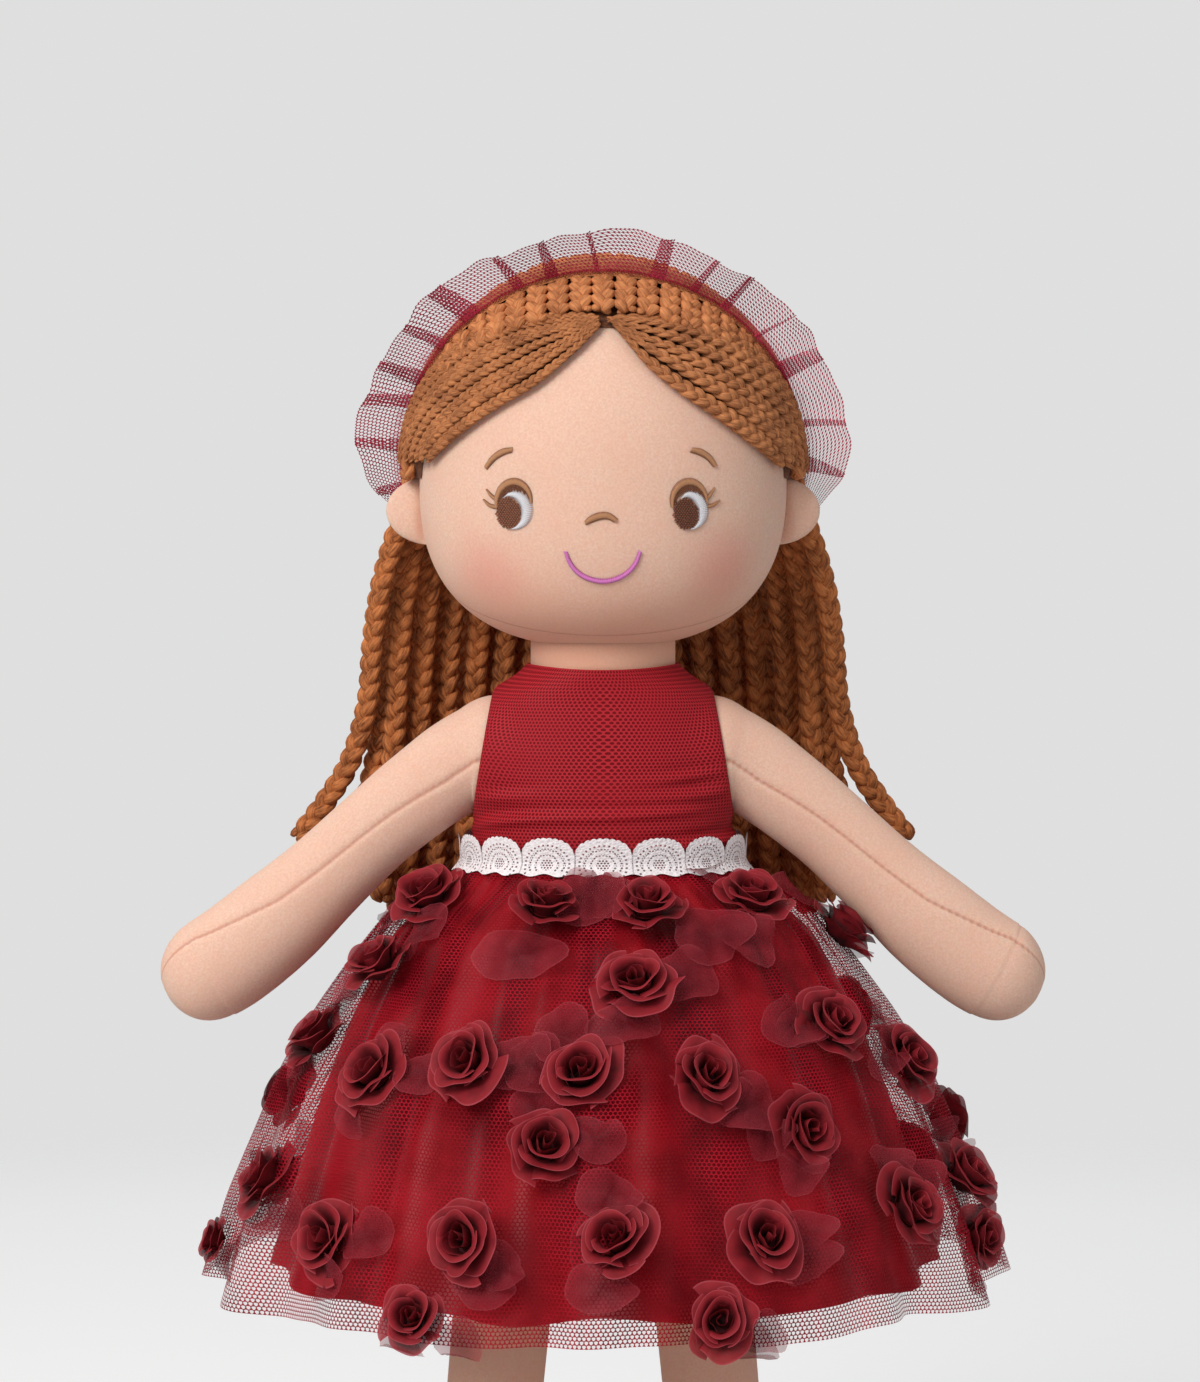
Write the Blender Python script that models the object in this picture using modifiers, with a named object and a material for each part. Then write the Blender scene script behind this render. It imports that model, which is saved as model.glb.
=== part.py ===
"""Rag doll in a ruffled dress, standing 45 cm tall on its own stuffed feet.

Metres, +Z up. The doll faces -Y, its own left side is at +X, and the origin lies on the ground
midway between the soles. The head turns on a round neck, the arms turn at the armholes, and the
legs swing at the bottom seam of the body. Run this script in Blender to build the doll.
"""

import math

import bmesh
import bpy
import numpy as np
from mathutils import Matrix, Vector

# Clearances
FIT_GAP = 0.0003
CUT_OVERRUN = 0.03

# Legs and feet
LEG_LENGTH = 0.195
LEG_RADIUS = 0.0149
HIP_SEAM_HALF_WIDTH = 0.0118
HIP_SEAM_HALF_THICKNESS = 0.00012
HIP_SPACING = 0.0488
LEG_SPLAY_DEGREES = 5.2
LEG_TOP_TAPER_DEGREES = 30.0
FOOT_HALF_WIDTH = 0.0155
FOOT_HALF_LENGTH = 0.032
FOOT_HEIGHT = 0.0265
FOOT_FORWARD = 0.003
SOLE_FLAT_DEPTH = 0.0005
FOOT_SQUARENESS = 4.0

# Body, from the bottom seam up to the neck
TORSO_LENGTH = 0.129
HIP_HALF_WIDTH = 0.042
HIP_HALF_DEPTH = 0.025
WAIST_HALF_WIDTH = 0.0385
WAIST_HALF_DEPTH = 0.0245
CHEST_HALF_WIDTH = 0.035
CHEST_HALF_DEPTH = 0.023
SHOULDER_HALF_WIDTH = 0.033
NECK_RADIUS = 0.0217
NECK_SHOWING = 0.0046
NECK_PLUG_DEPTH = 0.0164

# Arms
ARM_REACH = 0.0955
ARM_DROP = 0.0715
ARM_ROOT_RADIUS = 0.0172
HAND_RADIUS = 0.0156
ARM_SEAT_DEPTH = 0.007
ARMHOLE_TILT_DEGREES = 9.4
ARMHOLE_HEIGHT_SHARE = 0.79
ARM_DEPTH_SHARE = 0.86

# Head
HEAD_HALF_WIDTH = 0.055
HEAD_HALF_DEPTH = 0.0475
HEAD_CROWN_RISE = 0.062
HEAD_CHIN_DROP = 0.050
HEAD_CHIN_FORWARD = 0.006
HEAD_CHEEK_SQUARENESS = 2.5
EAR_LENGTH = 0.019
EAR_STANDOUT = 0.0105
EAR_THICKNESS = 0.0056
EAR_DROP = 0.0095

# Hair
HAIR_THICKNESS = 0.0069
FRINGE_THICKNESS = 0.0065
HAIR_PARTING_RISE = 0.0464
HAIRLINE_SETBACK = 0.0065
NAPE_DROP = 0.0047
BRAID_DIAMETER = 0.0066
BRAID_POINT_SPACING = 0.0172

# Headband
HEADBAND_RADIUS = 0.0013
HEADBAND_LEAN = 0.033
HEADBAND_SETBACK = 0.0075
HEADBAND_REACH_DEGREES = 91.0
RUFFLE_WIDTH = 0.0115
RUFFLE_THICKNESS = 0.0007
RUFFLE_PLEAT_DEPTH = 0.0021
RUFFLE_PLEATS = 16
RUFFLE_END_DEGREES = 20.0

# Dress
BODICE_THICKNESS = 0.001
CLOTH_THICKNESS = 0.0006
UNDERSKIRT_LENGTH = 0.1215
UNDERSKIRT_FOLD_DEPTH = 0.0022
UNDERSKIRT_FOLDS = 14
OVERSKIRT_LENGTH = 0.1245
OVERSKIRT_HEM_RADIUS = 0.1175
NET_BEYOND_SATIN = 0.0195
UNDERSKIRT_HEM_RADIUS = OVERSKIRT_HEM_RADIUS - NET_BEYOND_SATIN
OVERSKIRT_FOLD_DEPTH = 0.0036
OVERSKIRT_FOLDS = 18
LACE_WIDTH = 0.0112
LACE_SCALLOPS = 16
ROSE_RADIUS = 0.0108
ROSE_HEIGHT = 0.0096
ROSE_SINK = 0.0032

# Heights on the body as shares of the torso's length
WAIST_SHARE = 0.546
NECKLINE_SHARE = 0.985
BODICE_HEM_SHARE = 0.525

# The stuffed hips below the waist: height share, half width share, half depth share, squareness.
# A squareness of 2 is an ellipse.
HIP_RING_SHARES = (
    (0.040, 0.95, 0.20, 2.2),
    (0.120, 1.00, 0.60, 2.3),
    (0.200, 1.00, 0.84, 2.4),
    (0.310, 1.00, 1.00, 2.4),
)
SEAM_WIDTH_SHARE = 0.90
SHOULDER_DEPTH_SHARE = 0.93
SHOULDER_SLOPE_SHARE = 0.90
COLLAR_WIDTH_SHARE = 1.13

# A skirt's profile: drop as a share of its length, spread as a share of the way to the hem radius.
UNDERSKIRT_PROFILE_SHARES = (
    (0.0, 0.0),
    (0.03, 0.01),
    (0.08, 0.10),
    (0.18, 0.35),
    (0.39, 0.56),
    (0.58, 0.71),
    (0.78, 0.84),
    (1.0, 1.0),
)
OVERSKIRT_PROFILE_SHARES = (
    (0.0, 0.0),
    (0.028, 0.017),
    (0.07, 0.14),
    (0.124, 0.285),
    (0.237, 0.433),
    (0.357, 0.572),
    (0.502, 0.710),
    (0.655, 0.808),
    (0.800, 0.905),
    (1.0, 1.0),
)

# An arm's centre line from the armhole out: reach share, drop share, share of the hand's radius.
ARM_PATH_SHARES = (
    (0.06, -0.012, 1.07),
    (0.14, 0.03, 1.02),
    (0.24, 0.17, 0.93),
    (0.36, 0.355, 0.855),
    (0.50, 0.53, 0.89),
    (0.64, 0.70, 0.97),
    (0.78, 0.85, 1.0),
    (0.88, 0.93, 0.90),
    (0.95, 0.975, 0.66),
    (0.985, 0.995, 0.36),
)

# Where the rings of a leg's tapered top lie, as shares of the leg's length.
LEG_TOP_SHARES = (0.0, 0.03, 0.07, 0.115)
LEG_TOP_SLACK_SHARE = 0.95

# A leg's rings below its tapered top: length share, radius share.
LEG_RING_SHARES = (
    (0.17, 1.02),
    (0.30, 1.0),
    (0.50, 0.97),
    (0.72, 0.93),
    (0.86, 0.86),
    (0.93, 0.74),
)

# A fringe's lower edge from the parting to the ear: half width share of the head, rise share of the
# parting.
FRINGE_EDGE_SHARES = ((0.36, 0.80), (0.68, 0.48), (0.90, 0.14))
FRINGE_END_SHARE = 0.98

# A rose's rings from below: height share, radius share, petal swell share.
ROSE_RING_SHARES = (
    (-0.33, 0.75, 0.0),
    (0.12, 1.0, 0.10),
    (0.44, 0.74, -0.14),
    (0.66, 0.38, 0.14),
)

# Where the roses sit on the overskirt: turn from the front towards +X in degrees, drop share.
ROSE_PLACE_SHARES = (
    (-66, 0.10),
    (-20, 0.11),
    (15, 0.11),
    (54, 0.10),
    (84, 0.19),
    (8, 0.265),
    (-61, 0.25),
    (-67, 0.42),
    (-45, 0.47),
    (-26, 0.43),
    (-4, 0.45),
    (19, 0.46),
    (51, 0.37),
    (69, 0.47),
    (35, 0.57),
    (-10, 0.60),
    (-63, 0.73),
    (-43, 0.82),
    (-20, 0.79),
    (2, 0.79),
    (24, 0.80),
    (52, 0.77),
    (75, 0.75),
    (-135, 0.35),
    (150, 0.60),
    (-165, 0.72),
    (120, 0.80),
)

# Routes of the hanging braids on the doll's right side, from the crown's rim down, in metres.
# The left side mirrors them.
BRAID_ROUTES = (
    (
        (-0.0576, 0.0108, 0.3718),
        (-0.0625, 0.0140, 0.3630),
        (-0.0675, 0.0190, 0.3470),
        (-0.0705, 0.0250, 0.3300),
        (-0.0725, 0.0300, 0.3110),
        (-0.0780, 0.0340, 0.2930),
        (-0.0860, 0.0370, 0.2800),
        (-0.0950, 0.0390, 0.2680),
    ),
    (
        (-0.0544, 0.0196, 0.3726),
        (-0.0575, 0.0220, 0.3600),
        (-0.0610, 0.0260, 0.3430),
        (-0.0630, 0.0300, 0.3250),
        (-0.0640, 0.0330, 0.3070),
        (-0.0655, 0.0345, 0.2870),
        (-0.0675, 0.0355, 0.2670),
        (-0.0690, 0.0360, 0.2490),
    ),
    (
        (-0.0494, 0.0278, 0.3729),
        (-0.0515, 0.0300, 0.3580),
        (-0.0540, 0.0330, 0.3410),
        (-0.0558, 0.0360, 0.3240),
        (-0.0568, 0.0380, 0.3060),
        (-0.0585, 0.0400, 0.2870),
        (-0.0605, 0.0420, 0.2680),
        (-0.0620, 0.0430, 0.2510),
    ),
    (
        (-0.0430, 0.0350, 0.3731),
        (-0.0445, 0.0370, 0.3570),
        (-0.0463, 0.0395, 0.3400),
        (-0.0478, 0.0415, 0.3230),
        (-0.0488, 0.0430, 0.3050),
        (-0.0502, 0.0445, 0.2870),
        (-0.0518, 0.0460, 0.2690),
        (-0.0530, 0.0475, 0.2530),
    ),
    (
        (-0.0350, 0.0413, 0.3731),
        (-0.0363, 0.0425, 0.3560),
        (-0.0380, 0.0438, 0.3390),
        (-0.0395, 0.0450, 0.3220),
        (-0.0406, 0.0462, 0.3040),
        (-0.0418, 0.0472, 0.2870),
        (-0.0430, 0.0486, 0.2700),
        (-0.0438, 0.0503, 0.2570),
    ),
    (
        (-0.0258, 0.0461, 0.3731),
        (-0.0273, 0.0470, 0.3560),
        (-0.0293, 0.0475, 0.3390),
        (-0.0310, 0.0478, 0.3220),
        (-0.0324, 0.0483, 0.3040),
        (-0.0334, 0.0490, 0.2870),
        (-0.0344, 0.0502, 0.2710),
        (-0.0352, 0.0520, 0.2580),
    ),
    (
        (-0.0158, 0.0494, 0.3731),
        (-0.0175, 0.0500, 0.3560),
        (-0.0197, 0.0500, 0.3390),
        (-0.0218, 0.0498, 0.3220),
        (-0.0235, 0.0500, 0.3040),
        (-0.0244, 0.0506, 0.2870),
        (-0.0252, 0.0516, 0.2720),
        (-0.0258, 0.0532, 0.2600),
    ),
    (
        (-0.0049, 0.0511, 0.3731),
        (-0.0065, 0.0515, 0.3560),
        (-0.0090, 0.0513, 0.3390),
        (-0.0115, 0.0510, 0.3220),
        (-0.0135, 0.0510, 0.3040),
        (-0.0145, 0.0514, 0.2880),
        (-0.0152, 0.0523, 0.2740),
        (-0.0158, 0.0540, 0.2620),
    ),
)

# Heights that follow from the sizes above
HIP_HEIGHT = LEG_LENGTH
NECK_BASE_HEIGHT = HIP_HEIGHT + TORSO_LENGTH
CHIN_HEIGHT = NECK_BASE_HEIGHT + NECK_SHOWING
HEAD_CENTRE_HEIGHT = CHIN_HEIGHT + HEAD_CHIN_DROP
PLUG_TOP_HEIGHT = CHIN_HEIGHT + NECK_PLUG_DEPTH
WAIST_HEIGHT = HIP_HEIGHT + WAIST_SHARE * TORSO_LENGTH

SIDES = {"right": -1, "left": 1}
HEAD_COLUMNS = 26
HEAD_ROWS = 16
BODY_COLUMNS = 24
LIMB_COLUMNS = 18
EAR_COLUMNS = 14
EAR_ROWS = 10
FOOT_COLUMNS = 16
FOOT_ROWS = 9
POLE_REACH_SHARE = 1e-6
X_AXIS = np.array((1.0, 0.0, 0.0))
Y_AXIS = np.array((0.0, 1.0, 0.0))
Z_AXIS = np.array((0.0, 0.0, 1.0))

SKIN = (0.73, 0.42, 0.30)
HAIR = (0.32, 0.13, 0.045)
SATIN = (0.32, 0.010, 0.020)
TULLE = (0.22, 0.012, 0.035)
CHIFFON = (0.25, 0.020, 0.032)
LACE = (0.80, 0.76, 0.76)


def clear_scene():
    for old in list(bpy.data.objects):
        bpy.data.objects.remove(old, do_unlink=True)
    for name in ("rag_doll", "cutters"):
        bpy.context.scene.collection.children.link(bpy.data.collections.new(name))


def make_material(name, colour, roughness):
    material = bpy.data.materials.new(name)
    material.use_nodes = True
    surface = material.node_tree.nodes["Principled BSDF"]
    surface.inputs["Base Color"].default_value = (*colour, 1.0)
    surface.inputs["Roughness"].default_value = roughness
    surface.inputs["Metallic"].default_value = 0.0
    return material


def make_part(name, mesh, colour, roughness=0.9, origin=(0.0, 0.0, 0.0), parent=None):
    """Puts a mesh given in world space into the doll, with its origin at the given point."""
    mesh.transform(Matrix.Translation(-Vector(origin)))
    mesh.materials.append(make_material(name, colour, roughness))
    part = bpy.data.objects.new(name, mesh)
    bpy.data.collections["rag_doll"].objects.link(part)
    part.location = origin
    if parent is not None:
        part.parent = parent
        part.matrix_parent_inverse = Matrix.Translation(-parent.location)
    return part


def make_cutter(name, mesh):
    cutter = bpy.data.objects.new(name, mesh)
    bpy.data.collections["cutters"].objects.link(cutter)
    cutter.hide_render = True
    cutter.display_type = "WIRE"
    return cutter


def cut(part, cutter, operation="DIFFERENCE"):
    modifier = part.modifiers.new(cutter.name, "BOOLEAN")
    modifier.operation = operation
    modifier.solver = "EXACT"
    modifier.object = cutter


def thicken(part, thickness, offset):
    modifier = part.modifiers.new("thickness", "SOLIDIFY")
    modifier.thickness = thickness
    modifier.offset = offset


def smooth(mesh):
    mesh.shade_smooth()
    mesh.set_sharp_from_angle(angle=math.radians(40))
    return mesh


def section(centre, half_u, half_v, columns, squareness=2.0, axis_u=X_AXIS, axis_v=Y_AXIS):
    """A closed ring of points: an ellipse, or a squarer oval where squareness is over 2."""
    turn = np.linspace(0.0, 2.0 * math.pi, columns, endpoint=False)
    across = np.sign(np.cos(turn)) * np.abs(np.cos(turn)) ** (2.0 / squareness)
    along = np.sign(np.sin(turn)) * np.abs(np.sin(turn)) ** (2.0 / squareness)
    return np.array(centre) + half_u * np.outer(across, axis_u) + half_v * np.outer(along, axis_v)


def loft(name, rings, closed_ends=True):
    """A skin over rings of equal count; with closed ends it is a solid. The rings run upwards."""
    count = len(rings[0])
    faces = []
    for low in range(len(rings) - 1):
        for i in range(count):
            j = (i + 1) % count
            here = low * count
            above = here + count
            faces.append((here + i, here + j, above + j, above + i))
    if closed_ends:
        faces.append(tuple(range(count - 1, -1, -1)))
        faces.append(tuple(range((len(rings) - 1) * count, len(rings) * count)))
    mesh = bpy.data.meshes.new(name)
    mesh.from_pydata(np.concatenate(rings).tolist(), [], faces)
    return smooth(mesh)


def strip(name, rows):
    """A skin over open rows of equal count, such as a ruffle."""
    count = len(rows[0])
    faces = []
    for low in range(len(rows) - 1):
        for i in range(count - 1):
            here = low * count + i
            above = here + count
            faces.append((here, here + 1, above + 1, above))
    mesh = bpy.data.meshes.new(name)
    mesh.from_pydata(np.concatenate(rows).tolist(), [], faces)
    return smooth(mesh)


def cylinder(name, radius, bottom, top, columns=40):
    """A closed cylinder between two points."""
    start, end = Vector(bottom), Vector(top)
    turn = (end - start).to_track_quat("Z", "Y").to_matrix().to_4x4()
    place = Matrix.Translation((start + end) / 2.0) @ turn
    shape = bmesh.new()
    bmesh.ops.create_cone(
        shape,
        cap_ends=True,
        segments=columns,
        radius1=radius,
        radius2=radius,
        depth=(end - start).length,
        matrix=place,
    )
    mesh = bpy.data.meshes.new(name)
    shape.to_mesh(mesh)
    shape.free()
    return mesh


def prism(name, outline, axis, low, high):
    """A flat outline of (u, v) points pushed along X or Y between two places."""
    rings = []
    for place in (low, high):
        if axis == "X":
            rings.append(np.array([(place, u, v) for u, v in outline]))
        else:
            rings.append(np.array([(u, place, v) for u, v in outline]))
    mesh = loft(name, rings)
    shape = bmesh.new()
    shape.from_mesh(mesh)
    bmesh.ops.recalc_face_normals(shape, faces=shape.faces)
    shape.to_mesh(mesh)
    shape.free()
    return mesh


def ball(name, half_sizes, centre, columns, rows, drop=None, squareness=2.0, top_squareness=None):
    """A ball stretched to three half sizes; its lower half can have a depth of its own.

    Seen from the side it is an ellipse, or a squarer oval where squareness is over 2. The upper
    half is as square as the lower one unless it has a value of its own.
    """
    half_width, half_depth, rise = half_sizes
    fall = rise if drop is None else drop
    top_squareness = squareness if top_squareness is None else top_squareness
    shape = bmesh.new()
    bmesh.ops.create_uvsphere(shape, u_segments=columns, v_segments=rows, radius=1.0)
    for point in shape.verts:
        height = rise if point.co.z > 0.0 else fall
        power = 2.0 / (top_squareness if point.co.z > 0.0 else squareness)
        reach = math.hypot(point.co.x, point.co.y)
        wider = reach ** (power - 1.0) if reach > POLE_REACH_SHARE else 0.0
        level = math.copysign(min(1.0, abs(point.co.z)) ** power, point.co.z)
        point.co.x = centre[0] + point.co.x * wider * half_width
        point.co.y = centre[1] + point.co.y * wider * half_depth
        point.co.z = centre[2] + level * height
    mesh = bpy.data.meshes.new(name)
    shape.to_mesh(mesh)
    shape.free()
    return smooth(mesh)


def head_ball(name, grow=0.0):
    """The head's rounded form with its chin pushed forwards, or one that stands off from it all over."""
    sizes = (HEAD_HALF_WIDTH + grow, HEAD_HALF_DEPTH + grow, HEAD_CROWN_RISE + grow)
    centre = (0.0, 0.0, HEAD_CENTRE_HEIGHT)
    drop = HEAD_CHIN_DROP + grow
    mesh = ball(name, sizes, centre, HEAD_COLUMNS, HEAD_ROWS, drop, HEAD_CHEEK_SQUARENESS, 2.0)
    for point in mesh.vertices:
        below = max(0.0, HEAD_CENTRE_HEIGHT - point.co.z) / drop
        point.co.y -= HEAD_CHIN_FORWARD * below * below
    return mesh


def torso_table():
    """The body's rings: height share, half width, half depth, squareness."""
    waist_to_hip = (WAIST_HALF_WIDTH + HIP_HALF_WIDTH) / 2.0
    hips = [
        (height, width * HIP_HALF_WIDTH, depth * HIP_HALF_DEPTH, squareness)
        for height, width, depth, squareness in HIP_RING_SHARES
    ]
    shoulder_depth = SHOULDER_DEPTH_SHARE * CHEST_HALF_DEPTH
    return (
        (0.0, SEAM_WIDTH_SHARE * HIP_HALF_WIDTH, HIP_SEAM_HALF_THICKNESS, 2.0),
        *hips,
        (0.430, waist_to_hip, (WAIST_HALF_DEPTH + HIP_HALF_DEPTH) / 2.0, 2.1),
        (BODICE_HEM_SHARE, WAIST_HALF_WIDTH, WAIST_HALF_DEPTH, 2.0),
        (WAIST_SHARE, WAIST_HALF_WIDTH, WAIST_HALF_DEPTH, 2.0),
        (0.660, (WAIST_HALF_WIDTH + CHEST_HALF_WIDTH) / 2.0, WAIST_HALF_DEPTH, 2.3),
        (ARMHOLE_HEIGHT_SHARE, CHEST_HALF_WIDTH, CHEST_HALF_DEPTH, 2.6),
        (0.905, SHOULDER_HALF_WIDTH, shoulder_depth, 2.5),
        (0.940, SHOULDER_SLOPE_SHARE * SHOULDER_HALF_WIDTH, shoulder_depth, 2.4),
        (0.968, COLLAR_WIDTH_SHARE * NECK_RADIUS, NECK_RADIUS, 2.2),
        (NECKLINE_SHARE, NECK_RADIUS, NECK_RADIUS, 2.05),
        (1.0, NECK_RADIUS, NECK_RADIUS, 2.0),
    )


def torso_rings(grow=0.0, lowest_share=0.0, highest_share=1.0):
    """The body's rings, grown outwards, between two heights."""
    rings = []
    for share, half_width, half_depth, squareness in torso_table():
        if lowest_share <= share <= highest_share:
            centre = (0.0, 0.0, HIP_HEIGHT + share * TORSO_LENGTH)
            rings.append(section(centre, half_width + grow, half_depth + grow, BODY_COLUMNS, squareness))
    return rings


def armhole(side):
    """The armhole's centre on the bodice's side, and the direction straight out of it."""
    tilt = math.radians(ARMHOLE_TILT_DEGREES)
    outward = Vector((side * math.cos(tilt), 0.0, math.sin(tilt)))
    reach = CHEST_HALF_WIDTH + FIT_GAP + BODICE_THICKNESS
    height = HIP_HEIGHT + ARMHOLE_HEIGHT_SHARE * TORSO_LENGTH
    return Vector((side * reach, 0.0, height)), outward


def armhole_cutters():
    cutters = []
    for name, side in SIDES.items():
        centre, outward = armhole(side)
        seat = centre - outward * ARM_SEAT_DEPTH
        outside = centre + outward * CUT_OVERRUN
        mesh = cylinder(f"{name}_arm_seat", ARM_ROOT_RADIUS + FIT_GAP, seat, outside)
        cutters.append(make_cutter(f"{name}_arm_seat", mesh))
    return cutters


def make_torso(seats):
    """The stuffed body: a V-shaped bottom seam, flat round seats for the arms, and the neck's plug."""
    rings = torso_rings()
    rings.append(section((0.0, 0.0, PLUG_TOP_HEIGHT), NECK_RADIUS, NECK_RADIUS, BODY_COLUMNS))
    torso = make_part("torso", loft("torso", rings), SKIN)
    for seat in seats:
        cut(torso, seat)
    return torso


def make_bodice(torso, seats):
    """The sleeveless top of the dress, fitted round the body, with round armholes."""
    rings = torso_rings(FIT_GAP, BODICE_HEM_SHARE, NECKLINE_SHARE)
    bodice = make_part("bodice", loft("bodice", rings, closed_ends=False), SATIN, 0.6, parent=torso)
    thicken(bodice, BODICE_THICKNESS, 1.0)
    for seat in seats:
        cut(bodice, seat)
    return bodice


def arm_rings(side):
    """The arm's rings from its flat root in the armhole seat to the tip of its mitten hand."""
    centre, outward = armhole(side)
    places = [centre - outward * (ARM_SEAT_DEPTH - FIT_GAP), centre + outward * FIT_GAP]
    radii = [ARM_ROOT_RADIUS, ARM_ROOT_RADIUS]
    for reach_share, drop_share, radius_share in ARM_PATH_SHARES:
        places.append(centre + Vector((side * reach_share * ARM_REACH, 0.0, -drop_share * ARM_DROP)))
        radii.append(radius_share * HAND_RADIUS)
    places.append(centre + Vector((side * ARM_REACH, 0.0, -ARM_DROP)))
    rings = []
    for i, radius in enumerate(radii):
        forward = outward if i < 2 else (places[i + 1] - places[i - 1]).normalized()
        upwards = np.cross(Y_AXIS, np.array(forward))
        half_depth = radius * ARM_DEPTH_SHARE
        rings.append(section(places[i], radius, half_depth, LIMB_COLUMNS, 2.0, upwards, Y_AXIS))
    return rings


def make_arm(name, side, torso):
    mesh = loft(name, arm_rings(side))
    turn_outwards(mesh)
    centre, _ = armhole(side)
    return make_part(name, mesh, SKIN, origin=tuple(centre), parent=torso)


def turn_outwards(mesh):
    shape = bmesh.new()
    shape.from_mesh(mesh)
    bmesh.ops.recalc_face_normals(shape, faces=shape.faces)
    shape.to_mesh(mesh)
    shape.free()


def make_leg(name, side, torso):
    """A stuffed leg: flattened to a seam at the hip, round below, with a foot cut flat at the sole."""
    splay = math.radians(LEG_SPLAY_DEGREES)
    down = Vector((side * math.sin(splay), 0.0, -math.cos(splay)))
    hip = Vector((side * HIP_SPACING / 2.0, 0.0, HIP_HEIGHT - FIT_GAP))
    length = HIP_HEIGHT / math.cos(splay)
    taper = math.tan(math.radians(LEG_TOP_TAPER_DEGREES))
    across = np.array((math.cos(splay), 0.0, side * math.sin(splay)))
    rings = []
    for share in LEG_TOP_SHARES:
        place = hip + down * (share * length)
        widening = LEG_TOP_SLACK_SHARE * taper * share * length
        half_depth = min(LEG_RADIUS, HIP_SEAM_HALF_THICKNESS + widening)
        spread = min(1.0, share / LEG_TOP_SHARES[2])
        half_width = HIP_SEAM_HALF_WIDTH + spread * (LEG_RADIUS - HIP_SEAM_HALF_WIDTH)
        level = X_AXIS if share == 0.0 else across
        rings.append(section(place, half_width, half_depth, LIMB_COLUMNS, 2.0, level, Y_AXIS))
    for share, radius_share in LEG_RING_SHARES:
        place = hip + down * (share * length)
        radius = radius_share * LEG_RADIUS
        rings.append(section(place, radius, radius, LIMB_COLUMNS, 2.0, across, Y_AXIS))
    mesh = loft(name, rings)
    turn_outwards(mesh)
    leg = make_part(name, mesh, SKIN, origin=tuple(hip), parent=torso)
    ankle = hip + down * length
    half_height = (FOOT_HEIGHT + SOLE_FLAT_DEPTH) / 2.0
    centre = (ankle.x, -FOOT_FORWARD, half_height - SOLE_FLAT_DEPTH)
    sizes = (FOOT_HALF_WIDTH, FOOT_HALF_LENGTH, half_height)
    foot = ball(f"{name}_foot", sizes, centre, FOOT_COLUMNS, FOOT_ROWS, squareness=FOOT_SQUARENESS)
    cut(leg, make_cutter(f"{name}_foot", foot), "UNION")
    ground_outline = (
        (ankle.x - CUT_OVERRUN, -CUT_OVERRUN),
        (ankle.x + CUT_OVERRUN, -CUT_OVERRUN),
        (ankle.x + CUT_OVERRUN, 0.0),
        (ankle.x - CUT_OVERRUN, 0.0),
    )
    depth = FOOT_HALF_LENGTH + FOOT_FORWARD + CUT_OVERRUN
    ground = prism(f"{name}_ground", ground_outline, "Y", -depth, depth)
    cut(leg, make_cutter(f"{name}_ground", ground))
    return leg


def make_head(torso):
    """The stuffed head, with a round pocket underneath that turns on the neck's plug."""
    head = make_part("head", head_ball("head"), SKIN, origin=(0.0, 0.0, CHIN_HEIGHT), parent=torso)
    radius = NECK_RADIUS + FIT_GAP
    bottom = (0.0, 0.0, CHIN_HEIGHT - CUT_OVERRUN)
    top = (0.0, 0.0, PLUG_TOP_HEIGHT + FIT_GAP)
    cut(head, make_cutter("neck_pocket", cylinder("neck_pocket", radius, bottom, top, BODY_COLUMNS)))
    return head


def make_ear(name, side, head, head_room):
    """A small flattened ear, sewn to the side of the head."""
    reach = HEAD_HALF_WIDTH
    centre = (side * reach, 0.0, HEAD_CENTRE_HEIGHT - EAR_DROP)
    sizes = (EAR_STANDOUT, EAR_THICKNESS / 2.0, EAR_LENGTH / 2.0)
    ear = make_part(name, ball(name, sizes, centre, EAR_COLUMNS, EAR_ROWS), SKIN, parent=head)
    cut(ear, head_room)
    return ear


def hairline_outline(gap=0.0):
    """The crown hair seen from the side: behind a line from the parting down to behind the ears."""
    back = HEAD_HALF_DEPTH + CUT_OVERRUN
    top = HEAD_CENTRE_HEIGHT + HEAD_CROWN_RISE + CUT_OVERRUN
    ear_line = HAIRLINE_SETBACK - gap
    share = HAIR_PARTING_RISE / HEAD_CROWN_RISE
    parting = -HEAD_HALF_DEPTH * math.sqrt(1.0 - share * share) - gap
    slope = (parting - ear_line) / HAIR_PARTING_RISE
    low = HEAD_CENTRE_HEIGHT - NAPE_DROP - gap
    return (
        (ear_line, low),
        (back, low),
        (back, top),
        (ear_line + slope * (top - HEAD_CENTRE_HEIGHT), top),
        (ear_line, HEAD_CENTRE_HEIGHT),
    )


def hair_room(name, gap=0.0):
    reach = HEAD_HALF_WIDTH + CUT_OVERRUN
    return make_cutter(name, prism(name, hairline_outline(gap), "X", -reach, reach))


def make_hair_cap(head, head_room):
    """The rows of braid sewn over the crown and the back of the head, as one thick cap."""
    cap = make_part("hair_cap", head_ball("hair_cap", HAIR_THICKNESS), HAIR, parent=head)
    cut(cap, head_room)
    cut(cap, hair_room("hair_cap_region"), "INTERSECT")
    return cap


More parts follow.
